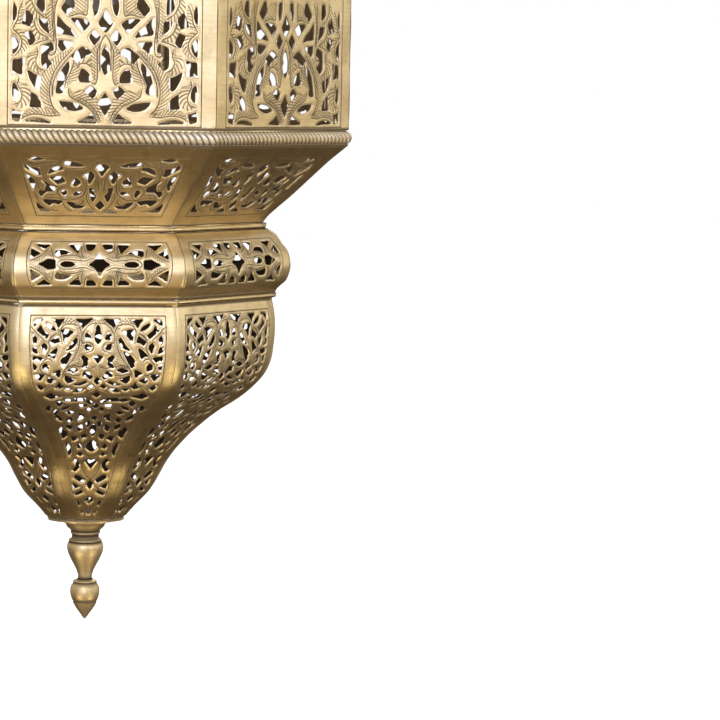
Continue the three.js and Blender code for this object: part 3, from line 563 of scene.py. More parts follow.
def sheet_outline(field, us, ss):
    """Cuts the grid along field = 0 and keeps field > 0: flat points, polygons and boundary edges."""
    solid = field > 0
    node = np.full(field.shape, -1)
    node[solid] = np.arange(solid.sum())
    points = [np.stack([np.broadcast_to(us, field.shape)[solid],
                        np.broadcast_to(ss[:, None], field.shape)[solid]], axis=1)]
    count = solid.sum()

    def cut(first, second, a, b):
        nonlocal count
        crossing = solid[first] != solid[second]
        ids = np.full(crossing.shape, -1)
        ids[crossing] = count + np.arange(crossing.sum())
        count += crossing.sum()
        t = (field[first] / (field[first] - field[second] + 1e-12))[crossing]
        t = np.clip(t, 0.02, 0.98)[:, None]
        points.append(a[crossing] * (1 - t) + b[crossing] * t)
        return ids

    places = np.stack(np.meshgrid(us, ss), axis=2)
    left, right = np.s_[:, :-1], np.s_[:, 1:]
    upper, lower = np.s_[:-1, :], np.s_[1:, :]
    across = cut(left, right, places[left], places[right])
    along = cut(upper, lower, places[upper], places[lower])
    # Corners counter-clockwise as seen from outside, where s runs down: lower left first.
    corner = [node[1:, :-1], node[1:, 1:], node[:-1, 1:], node[:-1, :-1]]
    edge = [across[1:, :], along[:, 1:], across[:-1, :], along[:, :-1]]
    local = np.stack(corner + edge, axis=2).reshape(-1, 8)
    code = sum((c >= 0).astype(int) << k for k, c in enumerate(corner)).reshape(-1)
    polygons, border = [], []
    for case, shapes in CELL_CASES.items():
        cells = local[code == case]
        for shape in shapes:
            polygons.append(cells[:, shape])
            for a, b in zip(shape, shape[1:] + shape[:1]):
                if a > 3 and b > 3:
                    border.append(cells[:, (a, b)])
    return np.vstack(points), polygons, np.vstack(border)


def make_mesh(name, points, faces, attributes=(), sharp=50):
    mesh = bpy.data.meshes.new(name)
    mesh.from_pydata(points.tolist() if hasattr(points, "tolist") else points, [], faces)
    for key, values in attributes:
        layer = mesh.attributes.new(key, "FLOAT", "POINT")
        layer.data.foreach_set("value", np.asarray(values, np.float32))
    mesh.polygons.foreach_set("use_smooth", [True] * len(mesh.polygons))
    mesh.set_sharp_from_angle(angle=math.radians(sharp))
    mesh.update()
    return mesh


def hand_waves(u, s, seed):
    """The slight unevenness of hand-hammered sheet, mm."""
    draw = np.random.default_rng(seed)
    waves = np.zeros(len(u))
    for _ in range(7):
        length, heading, start = draw.uniform(9, 40), draw.uniform(0, math.pi), draw.uniform(0, 2 * math.pi)
        along = u * math.cos(heading) + s * math.sin(heading)
        waves += np.sin(along * 2 * math.pi / length + start) * length
    return waves * HAND_UNEVEN


def fading(distance, reach):
    """1 at a distance of 0 or less, curving down to 0 at `reach`."""
    return np.clip(1 - np.clip(distance, 0, None) / reach, 0, 1) ** 2


def sunken(pattern, metal, edge, groove, phase, leaf, from_end):
    """How far the sheet's outer side lies below its full height: bands, rims, ends, lines and leaves."""
    depth = pattern.domed * fading(metal, DOMED_OVER) + RIM_DROP * fading(metal, RIM_WIDTH)
    depth += END_DROP * fading(from_end, END_WIDTH)
    depth += GROOVE_DEPTH * fading(np.minimum(np.abs(edge), np.abs(groove)), GROOVE_WIDTH)
    # The grid is too coarse for fine veins, so only the shader draws those.
    vein = 0.5 - 0.5 * np.cos(2 * math.pi * phase) if pattern.pitch > 2.5 * GRID else 0.5
    return depth + leaf * (LEAF_DROP + VEIN_DEPTH * vein)


def pierced_mesh(name, wall, pattern, seed, shift=0.0, trims=(0.0, 0.0), ends=0.0):
    """The sheet of one face: cut through, rubbed at each rim, engraved, and closed at its back."""
    widest = wall.half_width(wall.s).max()
    us = np.arange(-math.ceil(widest / GRID) - 1, math.ceil(widest / GRID) + 2) * GRID
    ss = np.arange(-1, math.ceil(wall.length / GRID) + 2) * GRID

    def outer_edge(u, s):
        half = wall.half_width(np.clip(s, 0, wall.length))
        sides = np.minimum(half - trims[0] + u, half - trims[1] - u)
        return np.minimum(sides, np.minimum(s - ends, wall.length - ends - s))

    u, s = [a.ravel() for a in np.meshgrid(us, ss)]
    field = np.minimum(pattern.evaluate(u, s - shift)[0], outer_edge(u, s))
    flat, polygons, border = sheet_outline(field.reshape(len(ss), len(us)), us, ss)

    fu, fs = flat[:, 0], np.clip(flat[:, 1], 0, wall.length)
    metal, edge, groove, phase, leaf = pattern.evaluate(fu, fs - shift)
    from_end = np.minimum(fs, wall.length - fs)
    sunk = sunken(pattern, metal, edge, groove, phase, leaf, from_end)
    front = wall.place(fu, fs, hand_waves(fu, fs, seed) - sunk)
    back = wall.place(fu, fs, np.full(len(fu), -SHEET))
    count = len(flat)
    faces = []
    for block in polygons:
        faces += block.tolist()
        faces += (block[:, ::-1] + count).tolist()
    first, last = border[:, 0], border[:, 1]
    faces += np.stack([last, first, first + count, last + count], axis=1).tolist()
    crease = 0.8 if wall.fold > BROAD_FOLD else 1.0
    seam = np.maximum(crease - np.abs(outer_edge(fu, fs)) / LINE_REACH, 1 - (from_end - ends - 0.9) / 4)
    seam = np.clip(seam, 0, 1)
    rim_near = np.clip(1 - np.clip(metal, 0, None) / LINE_REACH, 0, 1)
    layers = {"border": np.clip(edge, -LINE_REACH, LINE_REACH), "groove": groove,
              "rim": rim_near, "phase": phase, "leaf": leaf, "seam": seam}
    attributes = [(key, np.concatenate([values, values])) for key, values in layers.items()]
    attributes.append(("inner", np.repeat([0.0, 1.0], count)))
    return make_mesh(name, np.vstack([front, back]), faces, attributes)


def border_along(wall, top, bottom, margin_top, margin_bottom, steps=14):
    """A border line that follows the face's two edges at a margin, and crosses it at top and bottom."""
    s = np.linspace(top, bottom, steps)
    margin = np.interp(s, [top, bottom], [margin_top, margin_bottom])
    u = wall.half_width(s) - margin
    right = list(zip(u, s))
    return right + [(-a, b) for a, b in reversed(right)]


# ---------------------------------------------------------------- materials
def new_material(name):
    material = bpy.data.materials.new(name)
    material.use_nodes = True
    tree = material.node_tree
    return material, tree, tree.nodes["Principled BSDF"]


def math_node(tree, operation, a, b=None, clamp=False):
    node = tree.nodes.new("ShaderNodeMath")
    node.operation = operation
    node.use_clamp = clamp
    for socket, value in zip(node.inputs, (a, b)):
        if value is None:
            continue
        if hasattr(value, "links"):
            tree.links.new(value, socket)
        else:
            socket.default_value = value
    return node.outputs[0]


def mix_colour(tree, factor, a, b):
    node = tree.nodes.new("ShaderNodeMix")
    node.data_type = "RGBA"
    for socket, value in zip((node.inputs[0], node.inputs[6], node.inputs[7]), (factor, a, b)):
        if hasattr(value, "links"):
            tree.links.new(value, socket)
        else:
            socket.default_value = value
    return node.outputs[2]


def noise(tree, vector, scale, detail=3.0, roughness=0.55, distortion=0.0):
    node = tree.nodes.new("ShaderNodeTexNoise")
    node.inputs["Scale"].default_value = scale
    node.inputs["Detail"].default_value = detail
    node.inputs["Roughness"].default_value = roughness
    node.inputs["Distortion"].default_value = distortion
    tree.links.new(vector, node.inputs["Vector"])
    return node.outputs["Fac"]


def stretch(tree, vector, scale):
    node = tree.nodes.new("ShaderNodeMapping")
    node.inputs["Scale"].default_value = scale
    tree.links.new(vector, node.inputs["Vector"])
    return node.outputs["Vector"]


def remap(tree, value, low, high, to_low=0.0, to_high=1.0):
    node = tree.nodes.new("ShaderNodeMapRange")
    for socket, number in zip(node.inputs[1:5], (low, high, to_low, to_high)):
        socket.default_value = number
    tree.links.new(value, node.inputs[0])
    return node.outputs[0]


def attribute(tree, name):
    node = tree.nodes.new("ShaderNodeAttribute")
    node.attribute_name = name
    return node.outputs["Fac"]


BRIGHT = (0.85, 0.67, 0.37, 1)          # polished brass
WARM = (0.73, 0.535, 0.25, 1)           # its duller clouds
STAIN = (0.41, 0.295, 0.135, 1)         # tarnish
WORN_AND_SHEEN = (0.94, 0.80, 0.56, 1)            # pale brass: rims rubbed by cleaning, partly a painted highlight, and a painted sheen on the rope
PATINA_AND_SHADE = (0.030, 0.017, 0.008, 1)       # what fills the engraved lines, and the colour of painted shade inside the lantern and in the rope's valleys
INNER_BROWN = (0.30, 0.205, 0.11, 1)    # the sheets' unpolished backs


def nearness(tree, name, close, far):
    """1 within `close` mm of the line that the signed distance `name` is measured from, 0 beyond `far`."""
    return remap(tree, math_node(tree, "ABSOLUTE", attribute(tree, name)), far, close)


def strongest(tree, *values):
    total = values[0]
    for value in values[1:]:
        total = math_node(tree, "MAXIMUM", total, value)
    return total


def product(tree, a, b):
    return math_node(tree, "MULTIPLY", a, b)


def engraving(tree, place, mottle, colour, dirt_and_shade, relief):
    """Adds a sheet's engraved lines, dirty seams and rims, rubbed and partly a painted highlight, to the
    colour, dirt and relief.
    """
    leaf, phase, rim, seam = [attribute(tree, key) for key in ("leaf", "phase", "rim", "seam")]
    wave = math_node(tree, "COSINE", product(tree, phase, 2 * math.pi))
    stroke = product(tree, remap(tree, wave, -0.15, -0.8), remap(tree, leaf, 0.1, 0.6))
    line = strongest(tree, nearness(tree, "border", 0.2, 0.42), nearness(tree, "groove", 0.2, 0.44))
    # Here and there a fine line runs along the rim of a hole, clear of the border line.
    follow = math_node(tree, "ABSOLUTE", math_node(tree, "SUBTRACT", rim, 0.36))
    here = remap(tree, noise(tree, place, 75, 2), 0.48, 0.54, 0, 0.6)
    follow = product(tree, remap(tree, follow, 0.17, 0.05), here)
    clear_of_border = math_node(tree, "SUBTRACT", 1.0, nearness(tree, "border", 1.2, 1.45))
    follow = product(tree, follow, clear_of_border)
    cut = strongest(tree, line, product(tree, stroke, 0.85), follow)
    cut = product(tree, cut, remap(tree, mottle, 0.25, 0.6, 0.7, 1.0))
    dirt_and_shade = strongest(tree, product(tree, cut, 0.88), dirt_and_shade, remap(tree, seam, 0.72, 0.95, 0, 0.8))
    # The rims of the holes are paler: partly wear, partly a painted highlight.
    rubbed_and_highlit = product(tree, remap(tree, rim, 0.5, 0.85, 0, 0.75), remap(tree, mottle, 0.3, 0.6))
    colour = mix_colour(tree, rubbed_and_highlit, colour, WORN_AND_SHEEN)
    trough = strongest(tree, nearness(tree, "border", 0.1, 0.6), nearness(tree, "groove", 0.1, 0.7), stroke)
    return colour, dirt_and_shade, math_node(tree, "SUBTRACT", relief, product(tree, trough, 1.1))


def sheet_back(tree, place, mottle, colour, metallic, gloss):
    """The unpolished back of a sheet, with painted shade that makes it darkest low down in the bowl."""
    back = remap(tree, attribute(tree, "inner"), 0.3, 0.9)
    height = tree.nodes.new("ShaderNodeSeparateXYZ")
    tree.links.new(place, height.inputs[0])
    # Painted shade: the backs darken toward the patina colour lower down inside the lantern.
    painted_shade_low = remap(tree, height.outputs["Z"], -0.345, -0.40, 0, 0.85)
    inside = mix_colour(tree, mottle, INNER_BROWN, STAIN)
    colour = mix_colour(tree, back, colour, mix_colour(tree, painted_shade_low, inside, PATINA_AND_SHADE))
    metallic = product(tree, metallic, remap(tree, back, 0, 1, 1, 0.25))
    return colour, metallic, math_node(tree, "ADD", gloss, product(tree, back, 0.25), clamp=True)


def bumped(tree, shader, relief, strength, depth):
    bump = tree.nodes.new("ShaderNodeBump")
    bump.inputs["Strength"].default_value = strength
    bump.inputs["Distance"].default_value = depth
    tree.links.new(relief, bump.inputs["Height"])
    tree.links.new(bump.outputs["Normal"], shader.inputs["Normal"])


def brass(name, rough, engraved=False, brushed=(1, 1, 10), clouding=0.45, lift=0.0, grained=0.35, dull=0.0):
    """Antique brass: rubbed bright, warmer and duller in clouds, brown where the polish never reaches, with
    painted shade where a mesh carries it, as in the rope's valleys, and on the rope a painted sheen.
    """
    material, tree, shader = new_material(name)
    place = tree.nodes.new("ShaderNodeTexCoord").outputs["Object"]
    clouds = noise(tree, place, 14, 4, 0.6, 0.4)
    mottle = noise(tree, place, 110, 5, 0.65)
    streaks = noise(tree, stretch(tree, place, brushed), 70, 5, 0.7)
    grain = noise(tree, stretch(tree, place, brushed), 600, 3, 0.7)
    # lift mixes the brass toward the pale colour; on the rope it is 1, a painted sheen.
    bright = tuple(a + lift * (b - a) for a, b in zip(BRIGHT, WORN_AND_SHEEN))
    colour = mix_colour(tree, remap(tree, clouds, 0.38, 0.68), bright, WARM)
    colour = mix_colour(tree, remap(tree, streaks, 0.42, 0.72, 0, 0.20), colour, STAIN)
    colour = mix_colour(tree, remap(tree, mottle, 0.52, 0.80, 0, clouding), colour, STAIN)
    # Random dirt, plus the darkening a mesh carries: the finial's grooves and waist, and painted shade in
    # the rope's valleys.
    dirt_and_shade = strongest(tree, remap(tree, mottle, 0.35, 0.75, 0, 0.10), attribute(tree, "soil_and_shade"))
    relief = product(tree, grain, grained)
    if engraved:
        colour, dirt_and_shade, relief = engraving(tree, place, mottle, colour, dirt_and_shade, relief)
    colour = mix_colour(tree, dirt_and_shade, colour, PATINA_AND_SHADE)
    gloss = remap(tree, streaks, 0.3, 0.75, rough - 0.06, rough + 0.09)
    gloss = math_node(tree, "ADD", gloss, product(tree, dirt_and_shade, 0.25), clamp=True)
    metallic = remap(tree, dirt_and_shade, 0.15, 0.9, 1 - dull, 0.15)
    if engraved:
        colour, metallic, gloss = sheet_back(tree, place, mottle, colour, metallic, gloss)
    tree.links.new(colour, shader.inputs["Base Color"])
    tree.links.new(gloss, shader.inputs["Roughness"])
    tree.links.new(metallic, shader.inputs["Metallic"])
    tree.links.new(remap(tree, dirt_and_shade, 0.2, 0.9, 0.5, 0.08), shader.inputs["Specular IOR Level"])
    bumped(tree, shader, relief, 0.6, 0.00016)
    return material


def plain_metal(name, light, dark, rough):
    material, tree, shader = new_material(name)
    place = tree.nodes.new("ShaderNodeTexCoord").outputs["Object"]
    blotch = noise(tree, place, 160, 5, 0.65)
    colour = mix_colour(tree, remap(tree, blotch, 0.35, 0.7), light, dark)
    tree.links.new(colour, shader.inputs["Base Color"])
    shader.inputs["Metallic"].default_value = 1.0
    tree.links.new(remap(tree, blotch, 0.3, 0.75, rough - 0.08, rough + 0.12), shader.inputs["Roughness"])
    bumped(tree, shader, noise(tree, stretch(tree, place, (1, 1, 12)), 500, 3), 0.25, 0.0001)
    return material


def glazed(name, light, dark, rough, coat=0.0, transmission=0.0):
    material, tree, shader = new_material(name)
    place = tree.nodes.new("ShaderNodeTexCoord").outputs["Object"]
    haze = noise(tree, place, 60, 4, 0.6)
    tree.links.new(mix_colour(tree, remap(tree, haze, 0.3, 0.7), light, dark), shader.inputs["Base Color"])
    tree.links.new(remap(tree, haze, 0.3, 0.7, rough - 0.05, rough + 0.08), shader.inputs["Roughness"])
    shader.inputs["Coat Weight"].default_value = coat
    shader.inputs["Transmission Weight"].default_value = transmission
    return material


MATERIALS = {
    "sheet": brass("chased_brass", 0.42, engraved=True),
    "trim": brass("rubbed_trim_brass", 0.28, clouding=0.15, grained=0.06),
    # The rope's brass is lifted to the pale colour: a painted sheen on its strands.
    "rope": brass("rope_brass", 0.42, clouding=0.1, lift=1.0, grained=0.15, dull=0.4),
    "turned": brass("turned_brass", 0.44, brushed=(1, 1, 30), clouding=0.8, dull=0.15),
    "steel": plain_metal("zinc_plate", (0.62, 0.60, 0.57, 1), (0.42, 0.40, 0.37, 1), 0.4),
    "solder": plain_metal("solder", (0.62, 0.61, 0.60, 1), (0.38, 0.37, 0.36, 1), 0.32),
    "ceramic": glazed("glazed_ceramic", (0.84, 0.80, 0.72, 1), (0.74, 0.69, 0.60, 1), 0.25, coat=0.5),
    "glass": glazed("frosted_glass", (0.97, 0.95, 0.90, 1), (0.92, 0.89, 0.82, 1), 0.35, transmission=0.6),
}


# ---------------------------------------------------------------- pieces
def add_piece(name, mesh, material, body="lantern", stands_for=(), turn=0.0):
    piece = bpy.data.objects.new(name, mesh)
    bpy.context.scene.collection.objects.link(piece)
    if not mesh.materials:
        mesh.materials.append(MATERIALS[material])
    piece.rotation_euler[2] = turn
    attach(piece, body)
    if stands_for:
        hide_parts(*stands_for)
    return piece


def rectangle(half_width, top, bottom):
    return [(-half_width, top), (half_width, top), (half_width, bottom), (-half_width, bottom)]


def add_walls():
    cage = Wall("side_panel_front", 1.6)
    flare, belt = Wall("flare_panel_front", 2.0), Wall("belt_panel_front", 2.2)
    bowl, dome = Wall("bowl_panel_front", 8.0), Wall("dome_panel_front", 3.5)
    cage_pattern = Pattern(rectangle(53.6, -73, 73), CAGE_HOLES, CAGE_GROOVES, CAGE_LEAVES, mirror_s=True,
                           domed=0.12, pitch=CAGE_PITCH)
    flare_pattern = Pattern([(-47.8, 10.8), (47.8, 10.8), (35.6, 60.3), (-35.6, 60.3)],
                            FLARE_HOLES, FLARE_GROOVES, FLARE_LEAVES)
    belt_border = [(38.2, -14.6), (40.9, -7), (41.4, 0), (40.9, 7), (38.2, 14.6)]
    belt_border += [(-u, s) for u, s in reversed(belt_border)]
    belt_pattern = Pattern(belt_border, BELT_HOLES, BELT_GROOVES, BELT_LEAVES, mirror_s=True)
    bowl_pattern = Pattern(border_along(bowl, 6.3, bowl.length - 2, 6.8, 6.0),
                           BOWL_HOLES, BOWL_GROOVES, BOWL_LEAVES, clip=1.2)
    # The dome's pattern is the bowl's, larger and upside down.
    dome_pattern = Pattern(border_along(dome, 6, dome.length - 9, 4.5, 8.5), BOWL_HOLES, BOWL_GROOVES,
                           BOWL_LEAVES, scale=1.25, clip=1.6, flip=dome.length - 2)
    walls = [("side", cage, cage_pattern, cage.length / 2, 3), ("flare", flare, flare_pattern, 0, 5),
             ("belt", belt, belt_pattern, belt.length / 2, 7), ("bowl", bowl, bowl_pattern, 0, 11),
             ("dome", dome, dome_pattern, 0, 13)]
    for kind, wall, pattern, shift, seed in walls:
        mesh = pierced_mesh(f"{kind}_sheet", wall, pattern, seed, shift)
        for k, face in enumerate(FACES):
            node = f"{kind}_panel_{face}"
            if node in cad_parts:
                add_piece(f"{kind}_sheet_{face}", mesh, "sheet", stands_for=[node],
                          turn=k * TURN)
    add_door(cage, cage_pattern)


def add_door(cage, pattern):
    """The back sheet: a little shorter and narrower, with a round rod down its free edge."""
    top, bottom, free_edge = extent("door_panel")
    free_gap = float(cage.half_width(0)) + SEAM / COS - free_edge
    hinge_gap = 0.3
    mesh = pierced_mesh("door_sheet", cage, pattern, 17, cage.length / 2, trims=(free_gap, hinge_gap),
                        ends=abs(cage.drop[0] - top))
    add_piece("door_sheet", mesh, "sheet", body="door", stands_for=["door_panel"],
              turn=FACES.index("back") * TURN)
    radius, bevel = 2.0, 0.5
    first, last = top + 2.4, bottom - 2.4
    outline = [(first, 0), (first, radius - bevel), (first + bevel, radius), (last - bevel, radius),
               (last, radius - bevel), (last, 0)]
    rod = turned_mesh("door_rod", outline, 20)
    add_piece("door_rod", rod, "trim", body="door")
    place = Vector((free_edge - 5, cage.apothem[0] - SHEET - radius * 0.8, 0)) * MM
    for vertex in rod.vertices:
        vertex.co += place


# ---------------------------------------------------------------- turned pieces
def facing_out(mesh):
    """Turns the faces over if the closed mesh's volume comes out negative."""
    volume = 0
    for polygon in mesh.polygons:
        volume += mesh.vertices[polygon.vertices[0]].co.dot(polygon.normal) * polygon.area
    if volume < 0:
        mesh.flip_normals()
    return mesh


def extent(node):
    """A CAD node's drops at its top and bottom and its reach along X, mm."""
    low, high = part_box(node)
    return -high.z / MM, -low.z / MM, high.x / MM


def ring_of(drop, radius, segments):
    """Points round the lantern's axis, in metres."""
    angles = [2 * math.pi * k / segments for k in range(segments)]
    return [(radius * math.cos(a) * MM, radius * math.sin(a) * MM, -drop * MM) for a in angles]


def tube_faces(rings, sides, closed=False, first=0):
    """Quads between neighbouring rings of points; `closed` joins the last ring to the first one."""
    faces = []
    for i in range(rings if closed else rings - 1):
        a, b = first + i * sides, first + (i + 1) % rings * sides
        for j in range(sides):
            n = (j + 1) % sides
            faces.append((a + j, b + j, b + n, a + n))
    return faces


def turned_mesh(name, outline, segments=64, sharp=40):
    """Turns [drop, radius] points about the lantern's axis. Ends on the axis close it."""
    points, faces, rings = [], [], []
    for drop, radius in outline:
        ring = ring_of(drop, radius, segments) if radius > 0 else [(0, 0, -drop * MM)]
        rings.append(range(len(points), len(points) + len(ring)))
        points += ring
    for upper, lower in zip(rings, rings[1:]):
        for k in range(segments):
            n = (k + 1) % segments
            if len(upper) == 1:
                faces.append((upper[0], lower[k], lower[n]))
            elif len(lower) == 1:
                faces.append((upper[k], lower[0], upper[n]))
            else:
                faces.append((upper[k], lower[k], lower[n], upper[n]))
    return facing_out(make_mesh(name, points, faces, sharp=sharp))


def bored_mesh(name, outline, segments):
    """A turned piece whose outline closes on itself, round a bore."""
    points = [point for drop, radius in outline for point in ring_of(drop, radius, segments)]
    return facing_out(make_mesh(name, points, tube_faces(len(outline), segments, closed=True), sharp=40))


# The finial's turned outline: height above its tip and radius, mm.
FINIAL_SHAPE = [
    (62.4, 12.9), (61, 13), (59.6, 12.6), (58.8, 11.9), (57.6, 11.6), (56.8, 10.8), (55.9, 9.7),
    (55.3, 9.1), (55, 8.5), (54.7, 8.9), (54.2, 9.1), (53.5, 9), (53, 8.7), (52.7, 8.1), (52.3, 8.2),
    (50.6, 8.3), (50, 8.9), (49.6, 9.9), (49.2, 10.2), (48.7, 10.1), (48.3, 9.6), (48, 10.2), (46.8, 10.9),
    (45.2, 11.2),
    (43.4, 11.1), (41, 10.5), (38.6, 9.4), (36.4, 8.4), (33.6, 6.8), (30.5, 5.3), (27.4, 4.3), (25.4, 4.3),
    (25, 5), (24.6, 4.7), (24.2, 7), (23.8, 7.4), (23.3, 7.4), (22.9, 6.8), (22.5, 7.3), (21.2, 8.3),
    (19.4, 8.95), (17.4, 9.1), (15.4, 8.9), (13.4, 8.3), (11.7, 7.6), (11.4, 7.0), (11.0, 7.0), (10.7, 7.4),
    (8.8, 6.5), (7, 5.4), (5.2, 4.1), (3.4, 2.8), (1.6, 1.6), (0.5, 0.7),
]
PLATE_SAG = 0.3         # how far the rolled bottom plate hangs below the flat one, mm
# Where the turned finial is darkened, in its grooves and more broadly round its waist and tip: height above
# the tip, reach and weight.
FINIAL_DARKENING = [(55.0, 0.9, 1.0), (52.5, 0.9, 1.0), (51.0, 1.7, 0.75), (48.3, 0.8, 1.0), (29, 4.0, 0.4),
               (25.3, 0.9, 1.0), (22.9, 0.65, 0.95), (11.2, 0.6, 0.95), (3.5, 5, 0.5), (60.2, 1.2, 0.6)]


def add_finial():
    stud, tip, _ = extent("finial")
    seat = extent("bottom_plate")[1] + PLATE_SAG
    reach = (tip - seat) / FINIAL_SHAPE[0][0]
    shape = [(tip - h * reach, r) for h, r in FINIAL_SHAPE]
    outline = [(stud, 0), (stud, 2.6), (stud + 0.5, 3), (seat, 3)] + shape + [(tip, 0)]
    mesh = turned_mesh("finial_turned", outline, 72, 60)
    heights = [tip + v.co.z / MM for v in mesh.vertices]
    soil_and_shade = [max(weight * math.exp(-((h / reach - at) / width) ** 2) for at, width, weight in FINIAL_DARKENING)
            for h in heights]
    layer = mesh.attributes.new("soil_and_shade", "FLOAT", "POINT")
    layer.data.foreach_set("value", soil_and_shade)
    add_piece("finial_turned", mesh, "turned", stands_for=["finial"])


def add_bottom_plate():
    """A thin octagonal plate with a rolled, slightly uneven rim."""
    top, bottom, corner = extent("bottom_plate")
    apothem, bore = 0.93 * corner, 3.4
    section = [(bore, top), (apothem * 0.6, top), (apothem - 1.6, top - 0.1), (apothem - 0.5, top),
               (apothem, top + 0.7), (apothem - 0.3, bottom + 0.2), (apothem - 1.6, bottom + 0.1),
               (apothem * 0.6, bottom - 0.3), (bore, bottom - 0.3)]
    ring = octagon_mesh("bottom_plate_rolled", section, per_side=10, wobble=0.2, rounded=4.0)
    add_piece("bottom_plate_rolled", ring, "turned", stands_for=["bottom_plate"])


def octagon_point(apothem, turn, drop):
    """The point at `turn` sides round an octagon of that apothem; side 0 is centred on the front."""
    side = math.floor(turn)
    x = (2 * (turn - side) - 1) * apothem * TAN
    sine, cosine = math.sin(side * TURN), math.cos(side * TURN)
    return (x * cosine + apothem * sine, x * sine - apothem * cosine, -drop)


def in_metres(points):
    return [[c * MM for c in point] for point in points]


def octagon_mesh(name, section, per_side=12, wobble=0.0, rounded=0.0, seed=23):
    """A closed bar of [apothem, drop] section bent round the octagon, with its corners drawn in."""
    draw = np.random.default_rng(seed)
    turns = [side + (k / per_side) for side in range(len(FACES)) for k in range(per_side)]
    points = []
    for turn in turns:
        lift = draw.uniform(-wobble, wobble) if wobble else 0
        from_corner = abs((turn % 1) - round(turn % 1)) * 2
        pull = rounded / 100 * max(0, 1 - from_corner / 0.5) ** 2
        points += [octagon_point(apothem * (1 - pull), turn, drop + lift) for apothem, drop in section]
    faces = [face[::-1] for face in tube_faces(len(turns), len(section), closed=True)]
    return facing_out(make_mesh(name, in_metres(points), faces))


ROPE_STRANDS = 3
ROPE_LAY = 10.5         # length of one turn of a strand, mm
ROPE_STEPS = 14         # rings in one turn
ROPE_SIDES = 24
ROPE_VALLEY = 0.2       # depth of the valleys between the strands, of the rope's radius


def rope_mesh(name, node):
    """Three wires laid up into a rope and bent round the octagon: a lobed section that turns as it runs."""
    top, bottom, outer = extent(node)
    radius, middle = (bottom - top) / 2, (top + bottom) / 2
    core = outer - radius
    twists = round(2 * core * TAN * len(FACES) / ROPE_LAY)
    rings = twists * ROPE_STEPS
    points, valleys = [], []
    for i in range(rings):
        for j in range(ROPE_SIDES):
            around = 2 * math.pi * j / ROPE_SIDES
            valley = 1 - abs(math.cos(ROPE_STRANDS / 2 * around))
            bend = around + 2 * math.pi * twists * i / rings
            r = radius * (1 - ROPE_VALLEY * valley)
            out, down = core + r * math.cos(bend), middle + r * math.sin(bend)
            points.append(octagon_point(out, len(FACES) * i / rings, down))
            # Painted shade: the valleys between the strands are darkened.
            valleys.append(min(1.1 * valley ** 2.2, 0.95))
    faces = tube_faces(rings, ROPE_SIDES, closed=True)
    return facing_out(make_mesh(name, in_metres(points), faces, [("soil_and_shade", valleys)], sharp=80))


# Strips soldered behind the joints: top and bottom drop and inner apothem, mm.
HEMS = {"dome": (172.5, 181.2, 146.9), "cage": (328.8, 337, 147.2), "flare": (385.5, 391.6, 101.0),
        "belt": (426.5, 432, 106.2)}
HEM_THICKNESS = 0.9


def add_hems():
    """Thin strips inside, over the joints between the rows of sheets."""
    for name, (top, bottom, inner) in HEMS.items():
        outer = inner + HEM_THICKNESS
        section = [(inner, top), (outer, top), (outer, bottom), (inner, bottom)]
        mesh = octagon_mesh(f"hem_{name}", section, per_side=2)
        add_piece(f"hem_{name}", mesh, "trim")


def add_trims():
    for level in ("upper", "lower"):
        node = f"rope_trim_{level}"
        mesh = rope_mesh(f"rope_{level}", node)
        add_piece(f"rope_{level}", mesh, "rope", stands_for=[node])
        add_bead(level)


SOLDER_GAP = 0.35       # the beads fill the joints above and below them, mm
BEAD_SIDES = 14
BEAD_STEPS = 24         # lengths that one side of the octagon is divided into
BEAD_MITRE = 0.004      # the gap before each end of a side, of the side's length


def add_bead(level):
    """Half-hard wire laid round the joint in eight lengths, with a touch of solder where they meet."""
    node = f"bead_{level}"
    top, bottom, outer = extent(node)
    radius, middle = (bottom - top) / 2, (top + bottom) / 2
    core, radius = outer - radius - SOLDER_GAP, radius + 1.4 * SOLDER_GAP
    points, faces = [], []
    for side in range(len(FACES)):
        first = len(points)
        for k in range(BEAD_STEPS + 1):
            turn = side + BEAD_MITRE + (1 - 2 * BEAD_MITRE) * k / BEAD_STEPS
            r = radius * (0.72 if k in (0, BEAD_STEPS) else 1)
            for j in range(BEAD_SIDES):
                angle = 2 * math.pi * j / BEAD_SIDES
                points.append(octagon_point(core + r * math.cos(angle), turn, middle + r * math.sin(angle)))
        faces += tube_faces(BEAD_STEPS + 1, BEAD_SIDES, first=first)
        faces.append(range(first, first + BEAD_SIDES))
        faces.append(range(len(points) - 1, len(points) - 1 - BEAD_SIDES, -1))
    mesh = facing_out(make_mesh(f"bead_wire_{level}", in_metres(points), faces))
    add_piece(f"bead_wire_{level}", mesh, "trim", stands_for=[node])
    add_solder(level, outer, middle, radius)


def add_solder(level, outer, middle, radius):
    """Uneven drops above and below the bead where its lengths meet."""
    draw = np.random.default_rng(31)
    points, faces = [], []
    for side in range(len(FACES)):
        for where in (0.0, 1.0 if side % 3 else 0.93):
            along, size = draw.uniform(1.6, 3.4), draw.uniform(0.5, 0.8)
            drop = middle + draw.choice([-1, 1]) * radius * 0.8
            centre = octagon_point(outer - radius * 0.9, (side + where) % len(FACES), drop)
            blob(points, faces, centre, side * TURN, along, size, draw)
    mesh = facing_out(make_mesh(f"solder_{level}", in_metres(points), faces, sharp=80))
    add_piece(f"solder_{level}", mesh, "solder")


